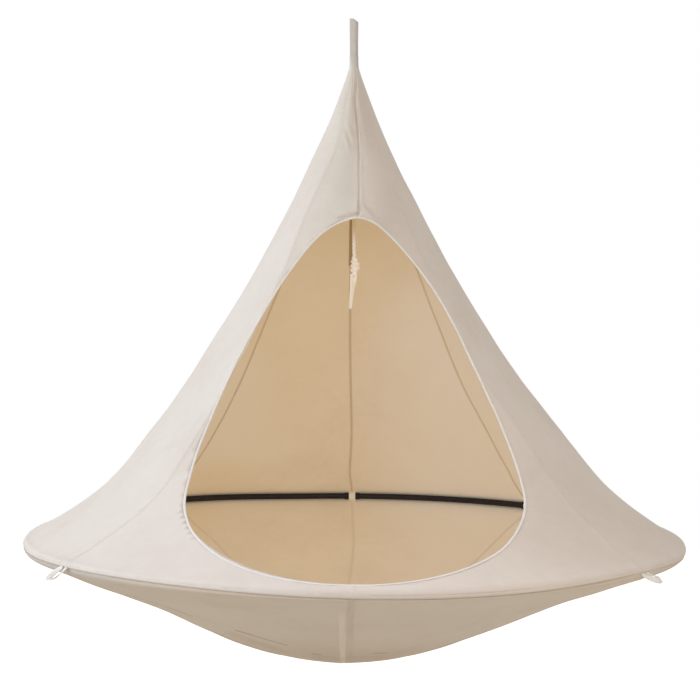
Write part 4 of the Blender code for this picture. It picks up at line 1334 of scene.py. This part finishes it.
def door_line(count):
    """The cloth's edge round the doorway: places on its mid face, ways out of it and into the doorway."""
    spots = []
    for k in range(count):
        angle = math.tau * (k + 0.5) / count
        radius = door_radius(angle)
        height = DOOR_MIDDLE.y + radius * math.cos(angle)
        spots.append(front_spot(DOOR_MIDDLE.x + radius * math.sin(angle) + door_shift(height), height))
    places = [canopy_point(azimuth, row, -CLOTH / 2) for azimuth, row in spots]
    line = []
    step = 0.004
    for k, (azimuth, row) in enumerate(spots):
        place = places[k]
        aside = canopy_point(azimuth + step, row) - canopy_point(azimuth - step, row)
        down = canopy_point(azimuth, row + step) - canopy_point(azimuth, row - step)
        out = down.cross(aside).normalized()
        if out.y > 0:
            out = -out
        way = (places[(k + 1) % count] - places[k - 1]).normalized()
        inwards = out.cross(way).normalized()
        if inwards.dot(Vector((0.0, place.y, RING_Z + DOOR_MIDDLE.y)) - place) < 0:
            inwards = -inwards
        line.append((place, out, inwards))
    return line


def door_binding():
    """Tape folded over the edge of the cloth, stitched through."""
    line = door_line(560)
    leg, wall, clear = 0.0026, 0.0006, CLOTH / 2 + 0.0002
    outer = clear + wall
    section = [(-leg, clear), (-leg, outer * 0.92), (-leg + 0.0007, outer)]
    section += [(-0.0006, outer), (0.0008, outer * 0.86), (0.0015, outer * 0.5), (0.0018, 0.0)]
    section += [(a, -b) for a, b in reversed(section[:-1])]
    section += [(0.0, -clear * 0.9), (0.0006, 0.0), (0.0, clear * 0.9)]
    rings = []
    for k, (place, out, inwards) in enumerate(line):
        swell = 1.0 + 0.05 * math.sin(k * 0.9) + 0.06 * noise.noise(place * 60.0)
        rings.append([place + inwards * a + out * (b * swell) for a, b in section])
    piece = loft("door_tape", rings, white_tape, caps=False, closed=True)
    settle(piece, "tent", "door_binding", "door_binding")
    aside, lift = 0.0011 - leg, outer + STITCH_LIFT
    rows = [[place + inwards * aside + out * side for place, out, inwards in line] for side in (lift, -lift)]
    sew("door_stitches", rows, white_thread, "tent", "door_binding", 0.0034, 0.0026, 0.0005, closed=True)


def door_tack():
    """A short bar of close stitches over the doorway's top."""
    azimuth, row = front_spot(-0.030, DOOR_TOP + 0.006)
    tilt, length, count, half = 0.35, 0.009, 18, 0.0011
    middle = canopy_point(azimuth, row, 0.0004)
    aside = (canopy_point(azimuth + 0.01, row, 0.0004) - middle).normalized()
    down = (canopy_point(azimuth, row + 0.01, 0.0004) - middle).normalized()
    way = aside * math.cos(tilt) + down * math.sin(tilt)
    over = (down * math.cos(tilt) - aside * math.sin(tilt)) * half
    places = [middle + way * (length * share) for share in steps(-0.5, 0.5, count - 1)]
    sew("door_top_tack", [[at - over, at, at + over] for at in places], white_thread, "tent", "door_binding",
        pitch=0.0022, stitch=0.0026, thread=0.0007)


door_binding()
door_tack()


# Ring

def ring_part(name, node, start, sweep, radius, count, draw_in, material):
    """A bent tube in the ring, hung as the ring hangs."""
    part = BENT_TUBE.run(
        bmesh_object(name, bmesh.new(), []), Bend_Radius=RING_RADIUS, Start_Angle=start, Sweep=sweep,
        Tube_Radius=radius, Steps=count, Draw_In=draw_in, Height=RING_Z, Material=material)
    for vert in part.data.vertices:
        vert.co = hung(vert.co)
    settle(part, "tent", "ring_tube", node)


def ring():
    """Eight bent tubes, and the sleeves that join them at the seams."""
    joint = CLEAR / RING_RADIUS
    sleeve = SLEEVE_LENGTH / RING_RADIUS
    for i in range(GORES):
        start = GORE_ANGLE * i - math.pi / 2
        ring_part(f"ring_tube_{i + 1}", f"ring_section_{i + 1}", start + joint, GORE_ANGLE - 2 * joint,
                  TUBE_RADIUS, 40, 0.12, black_tube)
        ring_part(f"ring_sleeve_{i + 1}", f"ring_coupler_{i + 1}", start - sleeve / 2, sleeve,
                  SLEEVE_RADIUS, 24, 0.10, black_sleeve)


ring()


def ring_place(azimuth, place):
    return hung(Vector((place.x * math.sin(azimuth), -place.x * math.cos(azimuth), RING_Z + place.y)))


def ring_tab(number):
    """A webbing tab round the ring at a seam, its ends tucked between the tube and the cloth."""
    half, bevel = 0.0100, 0.0003
    across = across_tape(half, 0.5, 0.94, 1.0)

    def on_tab(away, reach, a):
        place = Vector((RING_RADIUS, 0.0)) + away * reach
        return ring_place(GORE_ANGLE * number + a / place.x, place)

    faces = ([], [])
    line = []
    for degrees in steps(64, 296, 28):
        loose = smooth(80, 104, degrees) * (1 - smooth(256, 280, degrees))
        away = Vector((math.cos(math.radians(degrees)), math.sin(math.radians(degrees))))
        inner = SLEEVE_RADIUS + 0.0001 + 0.0009 * loose
        outer = inner + 0.0008 + 0.0008 * loose
        for face, reach, thin in zip(faces, (inner, outer), (bevel, -bevel)):
            face.append([on_tab(away, reach + (thin if abs(a) == half else 0.0), a) for a in across])
        line.append((away, outer + STITCH_LIFT))
    piece = tape_piece(f"ring_web_{number}", [faces], across, tab_web)
    settle(piece, "tent", "webbing", f"ring_tab_{number}")
    rows = [[on_tab(away, reach, a) for a in (-0.0085, 0.0, 0.0085)] for away, reach in (line[4], line[-5])]
    sew(f"ring_web_stitches_{number}", rows, pale_thread, "tent", "webbing")


for number in range(1, GORES):
    ring_tab(number)


# Tie loops at the rim

TIE_PLACES = {"front_left": -45, "front_right": 45, "rear_right": 135, "rear_left": -135}


def tie_loop(label, degrees):
    """A loop of folded tape, its two legs sewn into the rim seam. Left and right ones hang differently."""
    left = degrees < 0
    azimuth = drawn(math.radians(degrees), 0.0)
    sew_angle = math.radians(10 if left else 4)
    droop = math.radians(-40 if left else -23)
    length = 0.040 if left else 0.037
    lean = -1 if left else 1
    reach = (RIM_RADIUS + 0.0012) * Vector((math.cos(sew_angle), math.sin(sew_angle)))
    root = ring_place(azimuth, Vector((RING_RADIUS, 0.0)) + reach)
    radial = Vector((math.sin(azimuth), -math.cos(azimuth), 0.0))
    aside = Vector((math.cos(azimuth), math.sin(azimuth), 0.0))
    along = radial * math.cos(droop) + Vector((0, 0, math.sin(droop)))
    over = aside.cross(along)
    half, wide, thick, start, legs = 0.0108, 0.0056, 0.00085, 0.0006, 12
    straight = length - half - wide
    line = []
    for k in range(legs):
        t = k / legs
        line.append((start + t * (straight - start), half * (0.75 + 0.25 * smooth(0.0, 0.6, t))))
    for angle in steps(math.pi / 2, -math.pi / 2, 10):
        line.append((straight + half * math.cos(angle), half * math.sin(angle)))
    line += [(u, -v) for u, v in reversed(line[:legs])]
    places = []
    for u, v in line:
        sag = -0.0035 * smooth(0.15, 1.0, u / length)
        twist = lean * 0.0022 * math.sin(math.pi * u / length)
        places.append(root + along * u + aside * (v + twist) + over * sag)
    across = across_tape(wide, 0.8, 1.0)
    faces = ([], [])
    for k, place in enumerate(places):
        way = (places[min(k + 1, len(places) - 1)] - places[max(k - 1, 0)]).normalized()
        roll = math.radians(38) * math.sin(math.pi * k / (len(places) - 1)) * lean
        side = (over * math.sin(roll) + way.cross(over) * math.cos(roll)).normalized()
        up = side.cross(way).normalized()
        for face, rise in zip(faces, (thick, -thick)):
            face.append([place + side * a + up * (rise * (0.45 if abs(a) == wide else 1.0)) for a in across])
    piece = tape_piece(f"tie_tape_{label}", [faces], across, white_tape)
    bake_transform(piece)
    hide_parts(f"tie_loop_{label}")


for tie_label, tie_degrees in TIE_PLACES.items():
    tie_loop(tie_label, tie_degrees)


# Floor patch

def floor_patch():
    """A round patch under the floor's middle, with a turned edge and two rows of stitches."""
    radius, thick, hem = 0.090, 0.0014, 0.0020
    count = 96
    bm = bmesh.new()
    cloth = bm.loops.layers.uv.new("cloth")
    seam = bm.loops.layers.uv.new("seam")
    line = [(radius, 0.0002), (radius, thick), (radius - 0.0008, hem - 0.0001), (radius - 0.006, hem),
            (radius - 0.0075, thick), (radius * 0.6, thick), (radius * 0.3, thick)]

    def under(r, azimuth, lift):
        if r <= FLOOR_FLAT:
            row = 3.0 - r / FLOOR_FLAT
        else:
            row = halving(1.0, 2.0, lambda at: FLOOR.at(at - 1.0)[0].x > r)
        return floor_point(azimuth, row, lift)

    rings = [[bm.verts.new(under(r, math.tau * k / count, lift)) for k in range(count)] for r, lift in line]
    pole = bm.verts.new(under(0.0, 0.0, thick))
    for k in range(count):
        m = (k + 1) % count
        for a, b in zip(rings, rings[1:]):
            bm.faces.new((a[k], a[m], b[m], b[k]))
        bm.faces.new((rings[-1][k], rings[-1][m], pole))
    for face in bm.faces:
        for loop in face.loops:
            loop[cloth].uv = (loop.vert.co.x, loop.vert.co.y)
            loop[seam].uv = (0.05, 0.5)
    piece = bmesh_object("floor_round", bm, [under_canvas])
    settle(piece, "tent", "floor_canvas", "floor_patch")
    rows = [[under(radius - edge, math.tau * k / 240, hem - 0.0001) for k in range(240)]
            for edge in (0.002, 0.0045)]
    sew("floor_round_stitches", rows, pale_thread, "tent", "floor_canvas", closed=True)


floor_patch()


# Hanging strap and neck

def path_sides(path):
    """The way to the side at each point of a path of pairs."""
    sides = []
    for i in range(len(path)):
        way = Vector(path[min(i + 1, len(path) - 1)]) - Vector(path[max(i - 1, 0)])
        way.normalize()
        sides.append(Vector((way.y, -way.x)))
    return sides


def strap():
    """Webbing up from the neck, round the hook's place and down again, one leg on the other."""
    thick, width = 0.0024, 0.0215
    half_eye = 0.007 + thick / 2
    leg = thick / 2 + CLEAR / 2
    eye_z, meet_z, foot_z = -0.007, -0.056, -0.112
    side = [(half_eye * math.sin(angle), eye_z + half_eye * math.cos(angle))
            for angle in steps(0.0, math.pi / 2, 10)]
    side += [(half_eye + (leg - half_eye) * smooth(0.0, 1.0, t), eye_z + (meet_z - eye_z) * t)
             for t in steps(0.0, 1.0, 14)[1:]]
    side += [(leg, z) for z in steps(meet_z, foot_z, 19)[1:]]
    path = [(-y, z) for y, z in reversed(side[1:])] + side
    corner = thick * 0.42
    section = [(x, thick / 2) for x in steps(-width / 2 + corner, width / 2 - corner, 12)]
    for angle in (60, 30, 0, -30, -60):
        section.append((width / 2 - corner + corner * math.cos(math.radians(angle)),
                        thick / 2 * math.sin(math.radians(angle))))
    section += [(-x, -h) for x, h in section]
    rings = []
    for (y, z), out in zip(path, path_sides(path)):
        folded = 1.0 - smooth(-0.060, -0.015, z)
        front = smooth(0.006, -0.006, y)
        ring = []
        for x, h in section:
            fold = (0.30 + 0.70 * folded) * 1.1 * max(x - STRAP_FOLD, 0.0)
            drop = -(0.50 + 0.30 * front) * max(x + 0.0015, 0.0) * smooth(-0.030, -0.003, z)
            ring.append((x * (1 - 0.04 * folded), y + out.x * h + fold, z + out.y * h + drop))
        rings.append(ring)
    piece = loft("strap_web", rings, strap_web)
    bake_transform(piece)
    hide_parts("hanging_loop")
    face = -(leg + thick / 2 + STITCH_LIFT)
    left, right, high, low = -0.0088, 0.0012, -0.060, -0.080
    rows = [[(x, face, z) for z in steps(high, low, 2)] for x in (left, -0.0062, right)]
    rows += [[(x, face, z) for x in (left, -0.004, right)] for z in (high, low)]
    rows += [[(left, face, high), (right, face, low)], [(right, face, high), (left, face, low)]]
    sew("strap_stitches", rows, white_thread, "strap", "strap_webbing")


strap()


# Neck: share of the height, half widths, and roundness of its rings (1 for an ellipse)
NECK_TOP = -0.0898
NECK_RINGS = (
    (0.10, 0.0120, 0.0112, 0.97), (0.22, 0.0116, 0.0099, 0.90), (0.34, 0.0113, 0.0086, 0.80),
    (0.46, 0.0111, 0.0075, 0.70), (0.58, 0.0110, 0.0066, 0.62), (0.72, 0.0110, 0.0059, 0.56),
    (0.86, 0.0110, 0.0053, 0.52), (0.96, 0.0109, 0.0048, 0.50), (0.99, 0.0107, 0.0040, 0.50),
    (1.0, 0.0104, 0.0033, 0.50))


def neck():
    """Cloth gathered and sewn round the strap's end, running out over the canopy's tips."""
    turns = [math.tau * k / 96 for k in range(96)]
    rings = [[canopy_point(angle, row, lift) for angle in turns] for row, lift in (
        (0.020, -0.0003), (0.015, 0.0001), (0.009, 0.0004), (0.003, 0.0006), (0.0, 0.0007))]
    foot = rings[-1]
    for t, half_x, half_y, roundness in NECK_RINGS:
        z = APEX_Z + (NECK_TOP - APEX_Z) * t
        ring = []
        for angle, low in zip(turns, foot):
            c, s = math.sin(angle), -math.cos(angle)
            x = half_x * math.copysign(abs(c) ** roundness, c)
            y = half_y * math.copysign(abs(s) ** roundness, s)
            place = Vector((x, y + max(x - STRAP_FOLD, 0.0) * smooth(0.05, 0.60, t), z))
            ring.append(Vector((low.x, low.y, z)).lerp(place, smooth(-0.05, 0.20, t)))
        rings.append(ring)
    piece = loft("neck_cloth", rings, neck_canvas, caps=False, cloth=True)
    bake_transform(piece)
    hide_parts("neck_wrap")
    rows = []
    for x, low, high in ((-0.0046, -0.1125, -0.1015), (0.0052, -0.1150, -0.0930)):
        rows.append([(x, -0.0050 + max(x - STRAP_FOLD, 0.0) - 0.0040 * smooth(-0.103, -0.116, z), z)
                     for z in steps(high, low, 5)])
    sew("neck_stitches", rows, tan_thread, "neck", "canopy_canvas", 0.0026, 0.0020, 0.0007)


neck()


def crown():
    """The gathered ends of the tapes inside the tips: ribbed, and wider towards its turned foot."""
    low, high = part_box("crown_gather")
    wide = (high.x - low.x) / 2
    rings = []
    for t, turned in ((0.0, 1.0), (0.25, 1.0), (0.5, 1.0), (0.75, 1.0), (0.92, 1.0), (1.0, 0.9375)):
        z = high.z + (low.z - high.z) * t
        ring = []
        for angle in steps(0.0, math.tau, 64)[:-1]:
            radius = wide * (0.38 + 0.62 * t) * (0.97 + 0.03 * math.cos(16 * angle)) * turned
            ring.append((radius * math.sin(angle), -radius * math.cos(angle), z))
        rings.append(ring)
    settle(loft("crown_web", rings, tab_web), "tent", "webbing", "crown_gather")


crown()

# Grab rope

STIRRUP_TOP = APEX_Z - CROWN_DEPTH - CLEAR
PIVOT_Z = STIRRUP_TOP - 0.0135
EYE_LENGTH = 0.034
WHIPPING_TOP = PIVOT_Z - EYE_LENGTH - CLEAR
WHIPPING_LENGTH = 0.022
SWAY_Z = WHIPPING_TOP - WHIPPING_LENGTH - CLEAR - ROPE_RADIUS
KNOT_TOP = APEX_Z - 0.460
KNOT_LENGTH = 0.046
HAND_TOP = KNOT_TOP - KNOT_LENGTH - CLEAR - ROPE_RADIUS
ROPE_END = APEX_Z - 0.592


def through(points, count):
    """Points spread along a smooth curve that passes through the given points."""
    knots = [Vector(p) for p in points]
    knots = [2 * knots[0] - knots[1], *knots, 2 * knots[-1] - knots[-2]]
    fine = []
    for p0, p1, p2, p3 in zip(knots, knots[1:], knots[2:], knots[3:]):
        for i in range(24):
            t = i / 24
            fine.append(0.5 * (2 * p1 + (p2 - p0) * t + (2 * p0 - 5 * p1 + 4 * p2 - p3) * t * t
                               + (3 * p1 - p0 - 3 * p2 + p3) * t**3))
    fine.append(knots[-2])
    lengths = lengths_along(fine)
    spread = []
    for i in range(count):
        wanted = lengths[-1] * i / (count - 1)
        k = min(max(bisect.bisect_right(lengths, wanted) - 1, 0), len(fine) - 2)
        part = (wanted - lengths[k]) / max(lengths[k + 1] - lengths[k], 1e-9)
        spread.append(fine[k].lerp(fine[k + 1], min(part, 1.0)))
    return spread


def laid(name, lines, radius=ROPE_RADIUS):
    return LAID_ROPE.run(line_object(name, lines), Radius=radius, Lay=LAY, Material=rope_cotton)


def rope_tab():
    """The webbing stirrup under the crown."""
    thick, half = 0.0025, 0.0075
    bend = ROPE_RADIUS + 0.0005 + thick / 2
    path = [(bend * math.cos(a), PIVOT_Z + bend * math.sin(a)) for a in steps(0.0, -math.pi, 16)]
    path = [(bend, STIRRUP_TOP), *path, (-bend, STIRRUP_TOP)]
    across = across_tape(half, 0.92, 1.0)
    faces = ([], [])
    for (y, z), side in zip(path, path_sides(path)):
        for face, rise in zip(faces, (thick / 2, -thick / 2)):
            row = []
            for x in across:
                out = side * (rise * (0.7 if abs(x) == half else 1.0))
                row.append(Vector((x, y + out.x, z + out.y)))
            face.append(row)
    settle(tape_piece("rope_stirrup", [faces], across, tab_web), "tent", "webbing", "rope_tab")


def rope_eye():
    """The eye through the stirrup."""
    straight, bend = 0.0075 + ROPE_RADIUS * 0.1, 0.006
    leg = ROPE_RADIUS + CLEAR
    fall = EYE_LENGTH - bend - 2 * ROPE_RADIUS
    side = [(0.0, 0.0), (straight, 0.0)]
    side += [(straight + bend * math.sin(angle), bend * (math.cos(angle) - 1))
             for angle in steps(0.0, math.pi / 2, 3)[1:]]
    side += [(straight + bend + (leg - straight - bend) * smooth(0.0, 1.0, t), -bend - fall * t)
             for t in steps(0.0, 1.0, 4)[1:]]
    side.append((leg, -EYE_LENGTH))
    points = [(x, 0.0, PIVOT_Z + z) for x, z in side]
    path = through([(-x, y, z) for x, y, z in reversed(points[1:])] + points, 90)
    settle(laid("rope_eye_lay", [path], ROPE_RADIUS * 0.98), "rope_top", "cotton_rope", "rope_eye")


def rope_whipping():
    """The twine that closes the eye, wound round a core."""
    rings = []
    for t, share in ((0.0, 0.80), (0.1, 0.92), (0.8, 0.84), (1.0, 0.60)):
        rings.append([(0.0092 * share * math.cos(angle), 0.0052 * share * math.sin(angle),
                       WHIPPING_TOP - WHIPPING_LENGTH * t) for angle in steps(0.0, math.tau, 32)[:-1]])
    settle(loft("rope_whipping_core", rings, rope_cotton), "rope_top", "webbing")
    coil = WHIPPING.run(
        bmesh_object("rope_whipping_twine", bmesh.new(), []),
        Turns=15.0, Width=0.0091, Flatness=0.58, Length=0.0205, Twine=0.00078, Material=white_thread)
    coil.data.transform(Matrix.Translation((0.0, 0.0, WHIPPING_TOP - 0.0213)))
    settle(coil, "rope_top", "webbing", "rope_whipping")


def rope_knot():
    """Turns of rope that widen downwards round a short core."""
    centre = Vector((-0.0004, 0.0, KNOT_TOP - KNOT_LENGTH / 2))
    turns = []
    for t in steps(0.0, 1.0, 109):
        angle = math.radians(-150 + 1240 * t)
        radius = 0.0076 * math.sin(math.pi * (0.06 + 0.88 * t)) ** 0.5 * (0.78 + 0.42 * t)
        turns.append(centre + Vector((radius * math.cos(angle) + 0.0030 * math.sin(math.pi * t),
                                      radius * math.sin(angle) * 0.84, KNOT_LENGTH * (0.36 - 0.76 * t))))
    core = [centre + Vector((0.0006 * math.sin(k), 0.0, KNOT_LENGTH * (0.5 - k / 8))) for k in range(9)]
    knot = laid("rope_knot_lay", [turns, core], ROPE_RADIUS * 0.98)
    return settle(knot, "rope", "cotton_rope", "rope_knot")


def free_rope():
    """The rope from its swivel down to the knot."""
    top = SWAY_Z + ROPE_RADIUS
    low = KNOT_TOP + CLEAR
    path = through([(x, y, top + (low - top) * t) for x, y, t in (
        (0.0, 0.0, 0.0), (0.0, 0.0, 0.08), (0.0005, -0.001, 0.28), (0.0005, -0.002, 0.52),
        (-0.0005, -0.002, 0.78), (0.0, -0.0005, 0.94), (0.0005, 0.0, 1.0))], 40)
    run = settle(laid("rope_lay", [path]), "rope", "cotton_rope", "grab_rope")
    lengths_along(path)[-1]
    rope_knot()


def hand_loop():
    """The doubled end under the knot: down, round and up again, leaning to the left."""
    top = Vector((-0.0010, 0.0, HAND_TOP))
    reach = HAND_TOP - ROPE_END - ROPE_RADIUS
    lean = 0.11
    apart = ROPE_RADIUS + CLEAR
    side = ((apart, 0.0, -ROPE_RADIUS), (apart, 0.0, 0.0), (apart * 0.7, 0.0046, reach * 0.18),
            (apart * 0.35, 0.0135, reach * 0.42), (apart * 0.15, 0.018, reach * 0.66),
            (0.0, 0.01296, reach * 0.90))

    def strand(sign):
        return [top + Vector((sign * x - lean * max(down, 0.0), sign * y, -down)) for x, y, down in side]

    bottom = top + Vector((-lean * reach, 0.0, -reach))
    path = through([*strand(1), bottom, *reversed(strand(-1))], 60)
    bight = settle(laid("rope_bight_lay", [path], ROPE_RADIUS * 0.98), "rope_bight", "cotton_rope",
                   "rope_hand_loop")
    lengths_along(path)[-1]


rope_tab()
rope_eye()
rope_whipping()
free_rope()
hand_loop()


# Light and stage

# Lamps: place, the point that each looks at, side, power and colour
TENT_MIDDLE = (0.0, 0.0, -0.9)
LAMPS = {
    "key": ((-3.449, -0.924, 0.400), TENT_MIDDLE, 1.8, 57.4, (0.716, 0.925, 1.0)),
    "left_back": ((-3.356, 1.221, 0.400), TENT_MIDDLE, 1.8, 21.3, (0.72, 0.55, 1.0)),
    "right_back": ((3.356, 1.221, 0.400), TENT_MIDDLE, 1.8, 15.1, (0.52, 0.67, 1.0)),
    "rim_left": ((-0.65, -1.50, -0.80), (-0.35, -0.65, -1.30), 0.5, 2.07, (0.61, 0.65, 1.0)),
    "rim_right": ((0.65, -1.50, -0.80), (0.35, -0.65, -1.30), 0.5, 1.40, (1.0, 0.835, 0.76)),
    "rim_high": ((0.0, -1.35, -0.55), (0.0, -0.72, -1.30), 0.4, 1.47, (0.82, 0.84, 1.0))}


def soft_light(name, place, aim, side, power, colour):
    """A square soft light that looks at a point."""
    light = bpy.data.lights.new(name, "AREA")
    light.shape = "SQUARE"
    light.size = side
    light.energy = power
    light.color = colour
    lamp = add_object(name, light)
    lamp.location = place
    lamp.rotation_euler = (Vector(aim) - Vector(place)).to_track_quat("-Z", "Y").to_euler()
    lamp.visible_camera = False


def studio_sky():
    """White to the camera, and a weaker warm light on the tent."""
    scene = bpy.context.scene
    scene.view_settings.view_transform = "Standard"
    scene.world = bpy.data.worlds.new("studio")
    scene.world.use_nodes = True
    sky = Graph(scene.world.node_tree)
    backdrop = sky.node("ShaderNodeMixShader", None, [
        sky.node("ShaderNodeLightPath"),
        sky.node("ShaderNodeBackground", None, {"Color": (1.0, 0.904, 0.783, 1.0), "Strength": 0.584}),
        sky.node("ShaderNodeBackground", None, {"Color": (1.0, 1.0, 1.0, 1.0), "Strength": 1.0})])
    output = next(n for n in sky.tree.nodes if n.type == "OUTPUT_WORLD")
    sky.tree.links.new(backdrop.socket, output.inputs["Surface"])


def studio_floor():
    """White paper far under the tent."""
    bm = bmesh.new()
    bmesh.ops.create_grid(bm, x_segments=1, y_segments=1, size=9.0)
    for vert in bm.verts:
        vert.co.z = -2.75
    paper = Finish("paper_floor", 0.9, Emission_Color=(1.0, 1.0, 1.0, 1.0), Emission_Strength=0.75)
    paper.paint(paper.colour((0.93, 0.93, 0.93), (0.96, 0.96, 0.96), paper.noise(0.6, 2.0)))
    stage = bmesh_object("studio_floor", bm, [paper.material])
    stage.visible_diffuse = False


studio_sky()
for lamp_name, settings in LAMPS.items():
    soft_light(lamp_name, *settings)
studio_floor()
